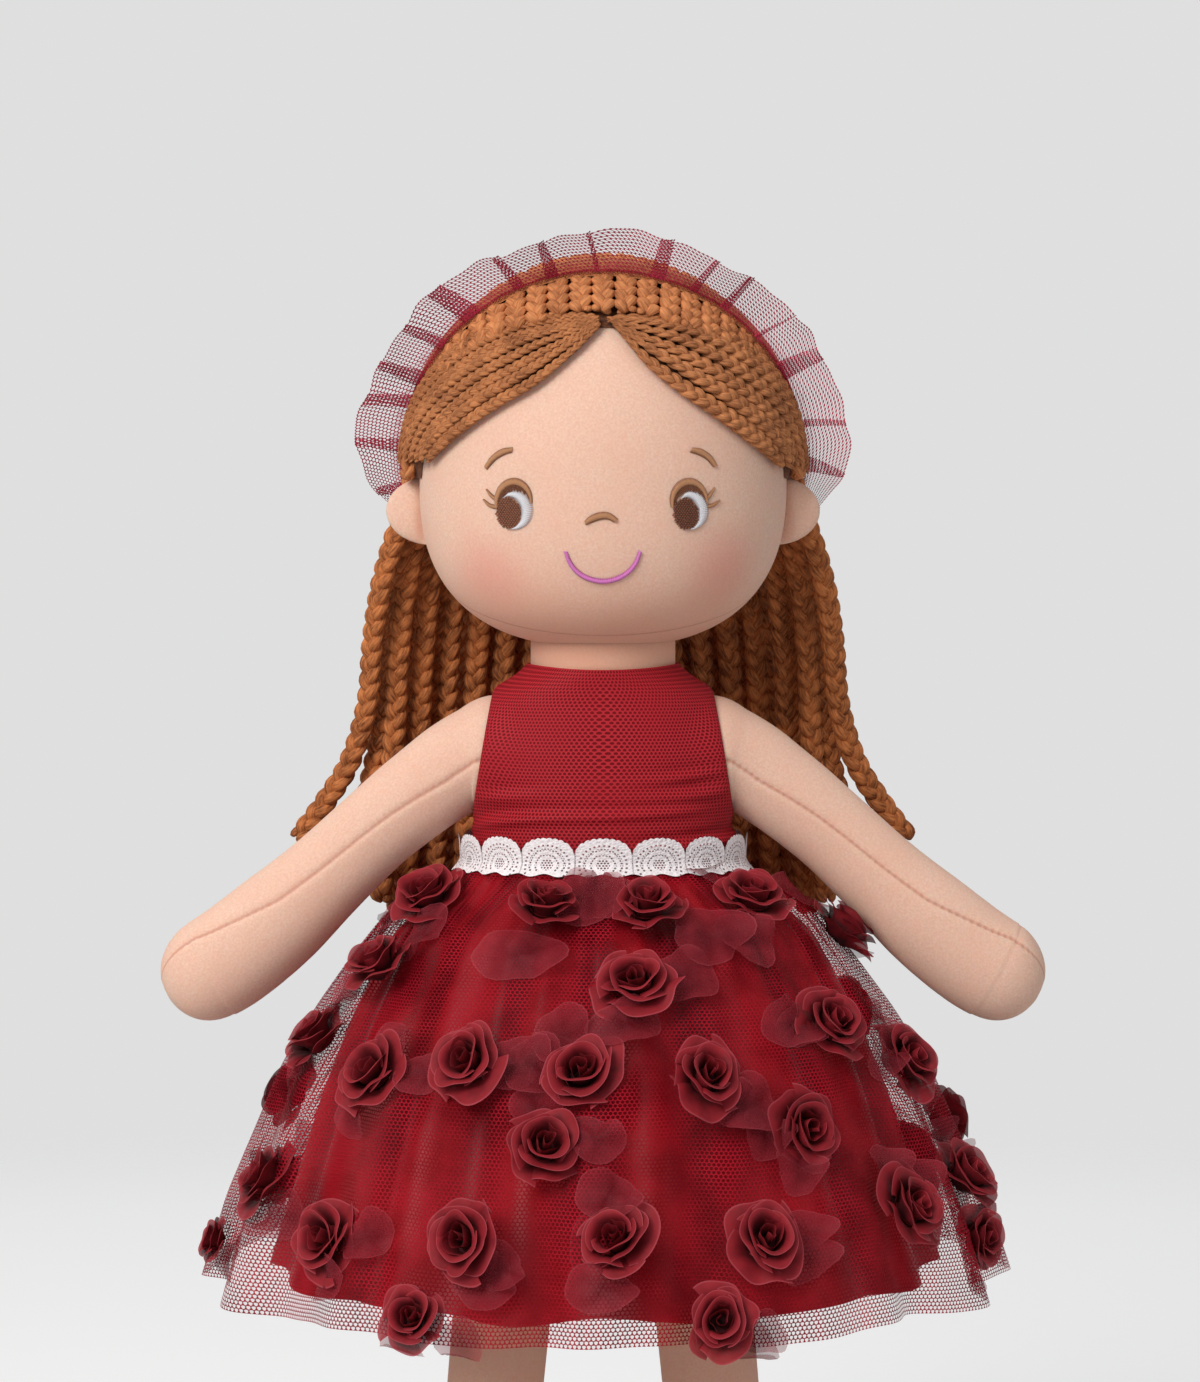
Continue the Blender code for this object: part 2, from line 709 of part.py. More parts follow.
def make_fringe(name, side, head, head_room, cap_room):
    """The braids that sweep from the parting to one ear, as one thick crescent."""
    parting = HEAD_CENTRE_HEIGHT + HAIR_PARTING_RISE
    ear_top = HEAD_CENTRE_HEIGHT + FIT_GAP
    reach = HEAD_HALF_WIDTH + CUT_OVERRUN
    top = HEAD_CENTRE_HEIGHT + HEAD_CROWN_RISE + CUT_OVERRUN
    edge = [
        (side * width * HEAD_HALF_WIDTH, HEAD_CENTRE_HEIGHT + rise * HAIR_PARTING_RISE)
        for width, rise in FRINGE_EDGE_SHARES
    ]
    outline = (
        (side * FIT_GAP, parting - FIT_GAP),
        *edge,
        (side * FRINGE_END_SHARE * HEAD_HALF_WIDTH, ear_top),
        (side * reach, ear_top),
        (side * reach, top),
        (side * FIT_GAP, top),
    )
    region = prism(f"{name}_region", outline, "Y", -reach, HEAD_HALF_DEPTH)
    fringe = make_part(name, head_ball(name, FRINGE_THICKNESS), HAIR, parent=head)
    cut(fringe, head_room)
    cut(fringe, make_cutter(f"{name}_region", region), "INTERSECT")
    cut(fringe, cap_room)
    return fringe


def smooth_route(points, spacing):
    """Points at an even spacing along a smooth curve through the route's own points."""
    route = np.array(points)
    padded = np.vstack((2.0 * route[0] - route[1], route, 2.0 * route[-1] - route[-2]))
    pieces = []
    for i in range(1, len(padded) - 2):
        before, start, end, after = padded[i - 1 : i + 3]
        for share in np.linspace(0.0, 1.0, 12, endpoint=False):
            bend = 2.0 * start + (end - before) * share
            bend = bend + (2.0 * before - 5.0 * start + 4.0 * end - after) * share**2
            bend = bend + (3.0 * start - before - 3.0 * end + after) * share**3
            pieces.append(bend / 2.0)
    pieces.append(route[-1])
    curve = np.array(pieces)
    steps = np.linalg.norm(np.diff(curve, axis=0), axis=1)
    along = np.concatenate(([0.0], np.cumsum(steps)))
    count = max(2, round(along[-1] / spacing) + 1)
    wanted = np.linspace(0.0, along[-1], count)
    return np.column_stack([np.interp(wanted, along, curve[:, axis]) for axis in range(3)])


def tube(name, points, radius, bevel_resolution):
    """A round tube with flat ends along the given points."""
    curve = bpy.data.curves.new(name, "CURVE")
    curve.dimensions = "3D"
    curve.bevel_depth = radius
    curve.bevel_resolution = bevel_resolution
    curve.use_fill_caps = True
    line = curve.splines.new("POLY")
    line.points.add(len(points) - 1)
    line.points.foreach_set("co", np.column_stack((points, np.ones(len(points)))).ravel())
    guide = bpy.data.objects.new(name, curve)
    bpy.context.scene.collection.objects.link(guide)
    bpy.context.view_layer.update()
    evaluated = guide.evaluated_get(bpy.context.evaluated_depsgraph_get())
    mesh = bpy.data.meshes.new_from_object(evaluated)
    shape = bmesh.new()
    shape.from_mesh(mesh)
    bmesh.ops.remove_doubles(shape, verts=shape.verts, dist=FIT_GAP / 100.0)
    bmesh.ops.recalc_face_normals(shape, faces=shape.faces)
    shape.to_mesh(mesh)
    shape.free()
    mesh.materials.clear()
    bpy.data.objects.remove(guide, do_unlink=True)
    bpy.data.curves.remove(curve)
    return smooth(mesh)


def make_braids(head):
    """The plaits that hang from the rim of the crown hair, eight on each side."""
    for name, side in SIDES.items():
        for number, route in enumerate(BRAID_ROUTES, 1):
            points = smooth_route(route, BRAID_POINT_SPACING) * np.array((-side, 1.0, 1.0))
            braid_name = f"{name}_braid_{number}"
            make_part(braid_name, tube(braid_name, points, BRAID_DIAMETER / 2.0, 2), HAIR, parent=head)


def headband_line(turns, off_hair):
    """Points on the headband's leaning loop, standing off from the hair, and the ways out of it."""
    half_width = HEAD_HALF_WIDTH + HAIR_THICKNESS + off_hair
    half_depth = HEAD_HALF_DEPTH + HAIR_THICKNESS + off_hair
    rise = HEAD_CROWN_RISE + HAIR_THICKNESS + off_hair
    drop = HEAD_CHIN_DROP + HAIR_THICKNESS + off_hair
    slope = -HEADBAND_LEAN / HEAD_CROWN_RISE
    a = slope**2 / half_depth**2 + 1.0 / rise**2
    b = 2.0 * HEADBAND_SETBACK * slope / half_depth**2
    c = HEADBAND_SETBACK**2 / half_depth**2 - 1.0
    top = (-b + math.sqrt(b * b - 4.0 * a * c)) / (2.0 * a)
    lift = top * np.cos(turns)
    depth = HEADBAND_SETBACK + slope * lift
    tall = np.where(lift > 0.0, rise, drop)
    inside = 1.0 - (depth / half_depth) ** 2 - (lift / tall) ** 2
    width = np.sign(turns) * half_width * np.sqrt(np.clip(inside, 0.0, None))
    points = np.column_stack((width, depth, HEAD_CENTRE_HEIGHT + lift))
    outward = np.column_stack((width / half_width**2, depth / half_depth**2, lift / tall**2))
    lean = np.array((0.0, 1.0, -slope))
    lean = lean / np.linalg.norm(lean)
    outward = outward - np.outer(outward @ lean, lean)
    outward = outward / np.linalg.norm(outward, axis=1)[:, None]
    return points, outward, lean


def headband_turns(count):
    reach = math.radians(HEADBAND_REACH_DEGREES)
    return np.linspace(-reach, reach, count)


def make_headband(head):
    """The gathered band of the headdress, from behind one ear over the crown to the other."""
    turns = headband_turns(31)
    points, _, _ = headband_line(turns, HEADBAND_RADIUS + 1.5 * FIT_GAP)
    return make_part("headband", tube("headband", points, HEADBAND_RADIUS, 1), TULLE, parent=head)


def make_ruffle(head):
    """The pleated net ruffle that stands out from the headband."""
    columns = RUFFLE_PLEATS * 5 + 1
    turns = headband_turns(columns)
    start = 2.0 * HEADBAND_RADIUS + 4.0 * FIT_GAP
    points, outward, lean = headband_line(turns, start)
    wave = np.cos(np.linspace(0.0, 2.0 * math.pi * RUFFLE_PLEATS, columns))
    to_the_end = math.radians(HEADBAND_REACH_DEGREES) - np.abs(turns)
    ends = np.clip(to_the_end / math.radians(RUFFLE_END_DEGREES), 0.25, 1.0)
    rows = []
    for share in (0.0, 0.5, 1.0):
        sway = RUFFLE_PLEAT_DEPTH * (0.15 + 0.85 * share) * wave
        reach = RUFFLE_WIDTH * share * np.sqrt(ends)
        rows.append(points + outward * reach[:, None] + np.outer(sway, lean))
    ruffle = make_part("headband_ruffle", strip("headband_ruffle", rows), TULLE, parent=head)
    thicken(ruffle, RUFFLE_THICKNESS, 0.0)
    return ruffle


def skirt_waist(layers):
    """Half width and half depth at the waist seam, outside the bodice and some layers of cloth."""
    grow = 2.0 * FIT_GAP + BODICE_THICKNESS + CLOTH_THICKNESS + layers * (CLOTH_THICKNESS + FIT_GAP)
    return WAIST_HALF_WIDTH + grow, WAIST_HALF_DEPTH + grow


def skirt_half_sizes(layers, profile_shares, hem_radius, drop_share):
    """The skirt's half width and half depth at a drop share, without its folds."""
    waist_width, waist_depth = skirt_waist(layers)
    drops, spreads = zip(*profile_shares)
    spread = np.interp(drop_share, drops, spreads)
    half_width = waist_width + (hem_radius - waist_width) * spread
    flatness = (waist_width - waist_depth) * (1.0 - drop_share)
    return half_width, half_width - flatness


def skirt_rings(layers, profile_shares, hem_radius, length, folds, fold_depth, columns, grow=0.0):
    """The skirt's outer rings from hem to waist, with folds that deepen towards the hem."""
    rings = []
    turn = np.linspace(0.0, 2.0 * math.pi, columns, endpoint=False)
    for drop_share, _ in reversed(profile_shares):
        half_width, half_depth = skirt_half_sizes(layers, profile_shares, hem_radius, drop_share)
        fold = fold_depth * drop_share**0.8 * np.cos(folds * turn)
        x = (half_width + grow + fold) * np.cos(turn)
        y = (half_depth + grow + fold) * np.sin(turn)
        z = np.full(columns, WAIST_HEIGHT - drop_share * length)
        rings.append(np.column_stack((x, y, z)))
    return rings


def overskirt_rings(grow=0.0):
    return skirt_rings(
        1,
        OVERSKIRT_PROFILE_SHARES,
        OVERSKIRT_HEM_RADIUS,
        OVERSKIRT_LENGTH,
        OVERSKIRT_FOLDS,
        OVERSKIRT_FOLD_DEPTH,
        OVERSKIRT_FOLDS * 4,
        grow,
    )


def make_underskirt(torso):
    """The plain satin skirt, gathered at the waist."""
    rings = skirt_rings(
        0,
        UNDERSKIRT_PROFILE_SHARES,
        UNDERSKIRT_HEM_RADIUS,
        UNDERSKIRT_LENGTH,
        UNDERSKIRT_FOLDS,
        UNDERSKIRT_FOLD_DEPTH,
        UNDERSKIRT_FOLDS * 4,
    )
    mesh = loft("underskirt", rings, closed_ends=False)
    skirt = make_part("underskirt", mesh, SATIN, 0.5, parent=torso)
    thicken(skirt, CLOTH_THICKNESS, -1.0)
    return skirt


def make_overskirt(torso):
    """The wide net skirt over the satin one."""
    mesh = loft("overskirt", overskirt_rings(), closed_ends=False)
    skirt = make_part("overskirt", mesh, TULLE, 0.8, parent=torso)
    thicken(skirt, CLOTH_THICKNESS, -1.0)
    return skirt


def make_lace(torso):
    """The scalloped lace sewn over the waist seam, its lower edge lying on the skirt."""
    columns = LACE_SCALLOPS * 4
    turn = np.linspace(0.0, 2.0 * math.pi, columns, endpoint=False)
    scallop = np.abs(np.cos(LACE_SCALLOPS * turn / 2.0))
    rings = []
    for side_share in (-1.0, 0.0, 1.0):
        reach = abs(side_share) * (0.76 + 0.24 * scallop) * LACE_WIDTH / 2.0
        height = WAIST_HEIGHT + math.copysign(1.0, side_share) * reach
        drop_share = np.clip((WAIST_HEIGHT - height) / OVERSKIRT_LENGTH, 0.0, 1.0)
        half_width, half_depth = skirt_half_sizes(
            1, OVERSKIRT_PROFILE_SHARES, OVERSKIRT_HEM_RADIUS, drop_share
        )
        off = 3.0 * FIT_GAP
        x = (half_width + off) * np.cos(turn)
        y = (half_depth + off) * np.sin(turn)
        rings.append(np.column_stack((x, y, height)))
    lace = make_part("waist_lace", loft("waist_lace", rings, closed_ends=False), LACE, parent=torso)
    thicken(lace, CLOTH_THICKNESS, 1.0)
    return lace


def rose_mesh(name):
    """A round gathered rose: rings that swell into petals, turned against each other."""
    columns = 10
    turn = np.linspace(0.0, 2.0 * math.pi, columns, endpoint=False)
    rings = []
    for height_share, radius_share, petal_share in ROSE_RING_SHARES:
        radius = ROSE_RADIUS * radius_share * (1.0 + petal_share * np.cos(5.0 * turn))
        height = np.full(columns, ROSE_HEIGHT * height_share)
        rings.append(np.column_stack((radius * np.cos(turn), radius * np.sin(turn), height)))
    return loft(name, rings)


def rose_place(degrees, drop_share):
    """A point on the overskirt without its folds, and the way straight out of the cloth."""
    height = WAIST_HEIGHT - drop_share * OVERSKIRT_LENGTH

    def surface(azimuth, share):
        sizes = skirt_half_sizes(1, OVERSKIRT_PROFILE_SHARES, OVERSKIRT_HEM_RADIUS, share)
        turn = math.atan2(-math.cos(azimuth) / sizes[1], math.sin(azimuth) / sizes[0])
        return np.array((sizes[0] * math.cos(turn), sizes[1] * math.sin(turn), 0.0))

    azimuth = math.radians(degrees)
    step_share = 0.04
    here = surface(azimuth, drop_share)
    around = surface(azimuth + step_share, drop_share) - surface(azimuth - step_share, drop_share)
    upper = surface(azimuth, drop_share - step_share)
    lower = surface(azimuth, drop_share + step_share)
    slope = upper - lower + 2.0 * step_share * OVERSKIRT_LENGTH * Z_AXIS
    outward = Vector(np.cross(around, slope)).normalized()
    return Vector((here[0], here[1], height)), outward


def make_roses(torso):
    """The gathered roses sewn over the net skirt, each seated on its folds."""
    rings = overskirt_rings(FIT_GAP)
    below = rings[0] - Z_AXIS * CUT_OVERRUN
    skirt_room = make_cutter("skirt_room", loft("skirt_room", [below, *rings]))
    for number, (degrees, drop_share) in enumerate(ROSE_PLACE_SHARES, 1):
        place, outward = rose_place(degrees, drop_share)
        name = f"rose_{number:02d}"
        rose = make_part(name, rose_mesh(name), CHIFFON, 0.8, parent=torso)
        rose.location = place + outward * (ROSE_HEIGHT * 0.33 - ROSE_SINK)
        rose.rotation_mode = "QUATERNION"
        rose.rotation_quaternion = outward.to_track_quat("Z", "Y")
        cut(rose, skirt_room)


def main():
    clear_scene()
    seats = armhole_cutters()
    torso = make_torso(seats)
    make_bodice(torso, seats)
    for name, side in SIDES.items():
        make_arm(f"{name}_arm", side, torso)
        make_leg(f"{name}_leg", side, torso)
    head = make_head(torso)
    head_room = make_cutter("head_room", head_ball("head_room", FIT_GAP))
    for name, side in SIDES.items():
        make_ear(f"{name}_ear", side, head, head_room)
    make_hair_cap(head, head_room)
    cap_room = hair_room("fringe_stop", FIT_GAP)
    for name, side in SIDES.items():
        make_fringe(f"{name}_fringe", side, head, head_room, cap_room)
    make_braids(head)
    make_headband(head)
    make_ruffle(head)
    make_underskirt(torso)
    make_overskirt(torso)
    make_lace(torso)
    make_roses(torso)


main()
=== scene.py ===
import math

import bpy
import numpy as np
from bpy.props import FloatProperty, FloatVectorProperty, IntProperty, PointerProperty
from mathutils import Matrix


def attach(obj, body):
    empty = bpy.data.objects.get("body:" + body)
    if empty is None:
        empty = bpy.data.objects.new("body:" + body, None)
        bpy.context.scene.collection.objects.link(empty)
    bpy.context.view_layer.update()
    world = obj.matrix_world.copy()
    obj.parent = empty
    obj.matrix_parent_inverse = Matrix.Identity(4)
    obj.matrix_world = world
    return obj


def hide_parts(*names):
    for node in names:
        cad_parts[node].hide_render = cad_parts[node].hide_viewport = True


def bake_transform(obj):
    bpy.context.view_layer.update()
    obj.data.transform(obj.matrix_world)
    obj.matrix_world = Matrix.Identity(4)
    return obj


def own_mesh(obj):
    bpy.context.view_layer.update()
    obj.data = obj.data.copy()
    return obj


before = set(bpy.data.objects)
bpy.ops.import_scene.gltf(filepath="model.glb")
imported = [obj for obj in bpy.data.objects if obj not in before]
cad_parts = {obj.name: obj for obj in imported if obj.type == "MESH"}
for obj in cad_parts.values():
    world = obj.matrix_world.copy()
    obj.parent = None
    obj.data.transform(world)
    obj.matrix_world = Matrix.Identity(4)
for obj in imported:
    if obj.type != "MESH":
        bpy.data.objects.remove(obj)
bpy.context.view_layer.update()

bl_info = {
    "name": "Rag doll looks",
    "version": (1, 0, 0),
    "blender": (4, 5, 0),
    "location": "View3D > Sidebar > Rag doll",
    "description": "Plaited hair, stuffed cloth body, net and satin dress and chiffon roses of a rag doll",
    "category": "Object",
}

SIDES = {"right": -1.0, "left": 1.0}
TURN = 2.0 * math.pi
QUARTER = math.pi / 2.0

# Measures that several pieces share, in metres.
BODY_LOW, BODY_TALL = 0.195, 0.129  # the body's lower end, and from there up to the neck
WAIST_WIDTH, WAIST_DEPTH = 0.0385, 0.0245  # half sizes of the body at the waist
LEG_SPLAY = math.radians(5.2)
ARM_TILT = math.radians(9.4)  # how far the way out of an armhole points up
ARMHOLE_RADIUS = 0.0178
CROWN_RISE = 0.062  # from the head's widest level up to its crown, where the band leans furthest forwards


def metres(name, description, default):
    """A setting that is a length."""
    return FloatProperty(name=name, description=description, default=default, subtype="DISTANCE")


def plain_number(name, description, default):
    """A setting that is a plain number."""
    return FloatProperty(name=name, description=description, default=default)


class StageSettings(bpy.types.PropertyGroup):
    camera_distance: metres("Camera distance", "From the doll's middle to the camera", 1.12)
    camera_height: metres("Camera height", "Height of the camera over the floor", 0.348)
    camera_tilt: FloatProperty(
        name="Camera tilt", description="How far the camera looks down",
        default=math.radians(1.67), subtype="ANGLE",
    )
    lens: plain_number("Lens", "Focal length in millimetres on a 36 mm sensor", 97.24)
    key_power: plain_number("Key light", "Power of the large soft light in watts", 25.2)
    fill_power: plain_number("Fill light", "Power of the weak light from the other side in watts", 2.8)
    sky_strength: plain_number("Room light", "Strength of the even light from all sides", 0.33)
    floor_glow: plain_number("Floor glow", "Light that the paper floor adds for the camera alone", 0.41)


class HeadSettings(bpy.types.PropertyGroup):
    half_width: metres("Half width", "Half the width of the stuffed head", 0.055)
    half_depth: metres("Half depth", "Half the depth of the stuffed head", 0.0475)
    rise: metres("Rise", "From the widest level up to the crown", 0.062)
    drop: metres("Drop", "From the widest level down to the chin", 0.05)
    centre_height: metres("Centre height", "Height of the widest level", 0.3786)
    cheek_squareness: plain_number("Cheek squareness", "2 is an oval lower face, more fills the cheeks", 2.5)
    chin_forward: metres("Chin forward", "How far the chin leans forwards", 0.006)
    neck_radius: metres("Neck radius", "Radius of the round neck", 0.0217)


class HairSettings(bpy.types.PropertyGroup):
    plait_width: metres("Plait width", "Width of a hanging plait", 0.0076)
    row_width: metres("Row width", "Width of a plait sewn over the crown", 0.0078)
    period: plain_number("Period", "Length in which a strand swings to and fro, in plait widths", 2.05)
    yarn_light: FloatVectorProperty(
        name="Yarn light", description="Light fibres of the yarn, 0 to 255", default=(206, 134, 84)
    )
    yarn_dark: FloatVectorProperty(
        name="Yarn dark", description="Dark fibres of the yarn, 0 to 255", default=(112, 62, 34)
    )
    right_fringe_count: IntProperty(
        name="Right fringe plaits", description="Plaits in the fringe on the doll's right", default=8, min=3
    )
    left_fringe_count: IntProperty(
        name="Left fringe plaits", description="Plaits in the fringe on the doll's left", default=6, min=3
    )
    row_count: IntProperty(name="Crown rows", description="Rows of plait over the crown", default=27, min=9)


class DressSettings(bpy.types.PropertyGroup):
    waist_height: metres("Waist height", "Height of the waist seam", 0.26543)
    net_length: metres("Net skirt length", "Drop of the net skirt from the waist", 0.1245)
    satin_length: metres("Satin skirt length", "Drop of the satin skirt from the waist", 0.1215)
    net_hem: metres("Net hem radius", "Radius of the net skirt's hem", 0.1175)
    satin_hem: metres("Satin hem radius", "Radius of the satin skirt's hem", 0.098)
    net_cell: metres("Net cell", "Width of a hole of the net", 0.00126)
    rose_radius: metres("Rose radius", "Radius of a gathered rose", 0.0112)


class HeaddressSettings(bpy.types.PropertyGroup):
    pleats: IntProperty(name="Pleats", description="Folded pleats round the ruffle", default=17, min=5)
    width: metres("Ruffle width", "How far the net stands out from its band", 0.0135)
    lean: metres("Lean", "How far the band leans forwards at the top", 0.033)
    setback: metres("Setback", "How far the band's ends lie behind the ears", 0.0075)


# Numbers and meshes


def unit(vectors):
    """The same directions with a length of 1."""
    vectors = np.asarray(vectors, float)
    return vectors / np.maximum(np.linalg.norm(vectors, axis=-1, keepdims=True), 1e-12)


def join(*axes):
    """Points or UVs from their coordinates; a plain number stands for all of them."""
    return np.stack(np.broadcast_arrays(*axes), axis=-1)


def polar(radius, turn, z):
    """Points round the Z axis."""
    return join(radius * np.cos(turn), radius * np.sin(turn), z)


def heading(path):
    """The ways ahead at each point of a path."""
    return unit(np.gradient(path, axis=0))


def circle(count):
    """Even turns once round, without the last."""
    return np.linspace(0.0, TURN, count, endpoint=False)


def uv_grid(across, up):
    """UVs of a grid from the numbers along its columns and along its rows."""
    return np.stack(np.meshgrid(across, up), axis=-1)


def lengths_along(points):
    """How far along a path each of its points lies."""
    return np.concatenate(([0.0], np.cumsum(np.linalg.norm(np.diff(points, axis=0), axis=1))))


def columns_at(wanted, known, table):
    """Each column of a table, read at the wanted places between the known ones."""
    return np.column_stack([np.interp(wanted, known, table[:, k]) for k in range(table.shape[1])])


def tube(centre, around, wide, thick, uv=None, flip=False):
    """A closed tube round a middle line; wide and thick are each a way out and a half size along the line."""
    ring = np.cos(around)[None, :, None] * wide[0] * wide[1]
    ring = ring + np.sin(around)[None, :, None] * thick[0] * thick[1]
    return closed(centre[:, None] + ring, uv, flip)


def smooth_path(points, step):
    """Even steps along the Catmull-Rom curve through the given points of any dimension.

    The first three numbers of a point are its place; the length is measured on them.
    """
    route = np.asarray(points, float)
    padded = np.vstack((2.0 * route[0] - route[1], route, 2.0 * route[-1] - route[-2]))
    t = np.linspace(0.0, 1.0, 24, endpoint=False)[:, None]
    pieces = []
    for i in range(1, len(padded) - 2):
        a, b, c, d = padded[i - 1 : i + 3]
        square, cube = 2 * a - 5 * b + 4 * c - d, 3 * b - a - 3 * c + d
        pieces.append(0.5 * (2 * b + (c - a) * t + square * t**2 + cube * t**3))
    curve = np.vstack((*pieces, route[-1:]))
    along = lengths_along(curve[:, :3])
    wanted = np.linspace(0.0, along[-1], max(3, int(round(along[-1] / step)) + 1))
    return columns_at(wanted, along, curve)


def grid(points, close_columns=False, first_cap=False, last_cap=False, uv=None, material=0, flip=False):
    """A surface over a grid of points (rows, columns, 3), as vertices, faces and their UVs.

    Columns may close on themselves, and the first and last row may close to a point in their middle.
    """
    points = np.asarray(points, float)
    rows, columns = points.shape[:2]
    wide = columns + (1 if close_columns else 0)
    if uv is None:
        uv = uv_grid(np.linspace(0, 1, wide), np.linspace(0, 1, rows))
    uv = np.asarray(uv)
    r, c = np.meshgrid(np.arange(rows - 1), np.arange(wide - 1), indexing="ij")
    r, c = r.ravel(), c.ravel()
    d = (c + 1) % columns
    quads = np.stack((r * columns + c, r * columns + d, (r + 1) * columns + d, (r + 1) * columns + c), axis=1)
    quad_uv = np.stack((uv[r, c], uv[r, c + 1], uv[r + 1, c + 1], uv[r + 1, c]), axis=1)
    verts = points.reshape(-1, 3)
    tris, tri_uv = np.zeros((0, 3), int), np.zeros((0, 3, 2))
    for wanted, row in ((first_cap, 0), (last_cap, rows - 1)):
        if wanted:
            centre = len(verts)
            verts = np.vstack((verts, points[row].mean(axis=0)))
            i = np.arange(columns)
            j = (i + 1) % columns
            ring = row * columns
            fan = (ring + j, ring + i) if row == 0 else (ring + i, ring + j)
            tris = np.vstack((tris, np.stack((np.full(columns, centre), *fan), axis=1)))
            middle = uv[row].mean(axis=0)
            edge = (uv[row, i + 1], uv[row, i]) if row == 0 else (uv[row, i], uv[row, i + 1])
            tri_uv = np.vstack((tri_uv, np.stack((np.broadcast_to(middle, (columns, 2)), *edge), axis=1)))
    if flip:
        quads, quad_uv, tris, tri_uv = quads[:, ::-1], quad_uv[:, ::-1], tris[:, ::-1], tri_uv[:, ::-1]
    return verts, quads, quad_uv, tris, tri_uv, material


def closed(rows, uv=None, flip=False):
    """A closed surface: rings that close on themselves, capped at both ends."""
    return grid(rows, True, True, True, uv, flip=flip)


def build(name, parts, *materials):
    """One object from a list of grids, at the origin of the row frame."""
    verts, loops, uvs, starts, slots = [], [], [], [], []
    offset, corner = 0, 0
    for v, quads, quad_uv, tris, tri_uv, slot in parts:
        for faces, face_uv in ((quads, quad_uv), (tris, tri_uv)):
            if len(faces):
                loops.append((faces + offset).ravel())
                uvs.append(face_uv.reshape(-1, 2))
                starts.append(corner + np.arange(len(faces)) * faces.shape[1])
                slots.append(np.full(len(faces), slot))
                corner += faces.size
        verts.append(v)
        offset += len(v)
    verts, loops, uvs = np.concatenate(verts), np.concatenate(loops), np.concatenate(uvs)
    starts, slots = np.concatenate(starts), np.concatenate(slots)
    mesh = bpy.data.meshes.new(name)
    mesh.vertices.add(len(verts))
    mesh.vertices.foreach_set("co", verts.astype(np.float32).ravel())
    mesh.loops.add(len(loops))
    mesh.loops.foreach_set("vertex_index", loops.astype(np.int32))
    mesh.polygons.add(len(starts))
    mesh.polygons.foreach_set("loop_start", starts.astype(np.int32))
    mesh.polygons.foreach_set("material_index", slots.astype(np.int32))
    mesh.uv_layers.new(name="UVMap").data.foreach_set("uv", uvs.astype(np.float32).ravel())
    mesh.update(calc_edges=True)
    mesh.shade_smooth()
    for material in materials:
        mesh.materials.append(material)
    piece = bpy.data.objects.new(name, mesh)
    bpy.context.scene.collection.objects.link(piece)
    return piece


def head_sizes(off=0.0):
    """The head's half sizes, its drop and its centre's height, with the cloth grown by off."""
    head = bpy.context.scene.rag_doll_head
    return np.array((head.half_width, head.half_depth, head.rise)) + off, head.drop + off, head.centre_height


def from_head(points):
    """Points seen from the head's centre, and the head's half sizes on their side of it."""
    sizes, drop, height = head_sizes()
    away = np.asarray(points, float) - (0.0, 0.0, height)
    scale = np.broadcast_to(sizes, away.shape).copy()
    scale[..., 2] = np.where(away[..., 2] > 0.0, sizes[2], drop)
    return away, scale, height


def on_head(points, off=0.0):
    """Moves points straight out from the head's centre onto the head grown by off."""
    away, scale, height = from_head(points)
    reach = np.linalg.norm(away / (scale + off), axis=-1, keepdims=True)
    return away / np.maximum(reach, 1e-9) + (0.0, 0.0, height)


def head_level(z):
    """The head's half width at a height, as a share squared, and how far the chin leans forwards there."""
    head = bpy.context.scene.rag_doll_head
    up = np.clip((z - head.centre_height) / head.rise, 0.0, 1.0)
    down = np.clip((head.centre_height - z) / head.drop, 0.0, 1.0)
    below = (1.0 - down**head.cheek_squareness) ** (2.0 / head.cheek_squareness)
    return np.where(up > 0.0, 1.0 - up**2, below), head.chin_forward * down**2


def face_point(x, z, off=0.0):
    """The point of the face in front of (x, z), standing off by off, and the way out of the cloth."""
    sizes, _, _ = head_sizes()
    x, z = np.asarray(x, float), np.asarray(z, float)
    level, lean = head_level(z)
    y = -sizes[1] * np.sqrt(np.maximum(level - (x / sizes[0]) ** 2, 1e-6))
    above, lean_above = head_level(z + 1e-4)
    slope = 2.0 * y / sizes[1] ** 2 * (lean_above - lean) / 1e-4 - (above - level) / 1e-4
    out = unit(join(2.0 * x / sizes[0] ** 2, 2.0 * y / sizes[1] ** 2, slope))
    return join(x, y - lean, z) + out * off, out


def head_out(points):
    """The ways straight out of the head's cloth near the given points."""
    away, scale, _ = from_head(points)
    return unit(away / scale**2)


# Materials


def linear(red, green, blue):
    """A colour of 0 to 255 steps as linear light."""
    steps = np.array((red, green, blue)) / 255.0
    light = np.where(steps <= 0.04045, steps / 12.92, ((steps + 0.055) / 1.055) ** 2.4)
    return (*light.tolist(), 1.0)


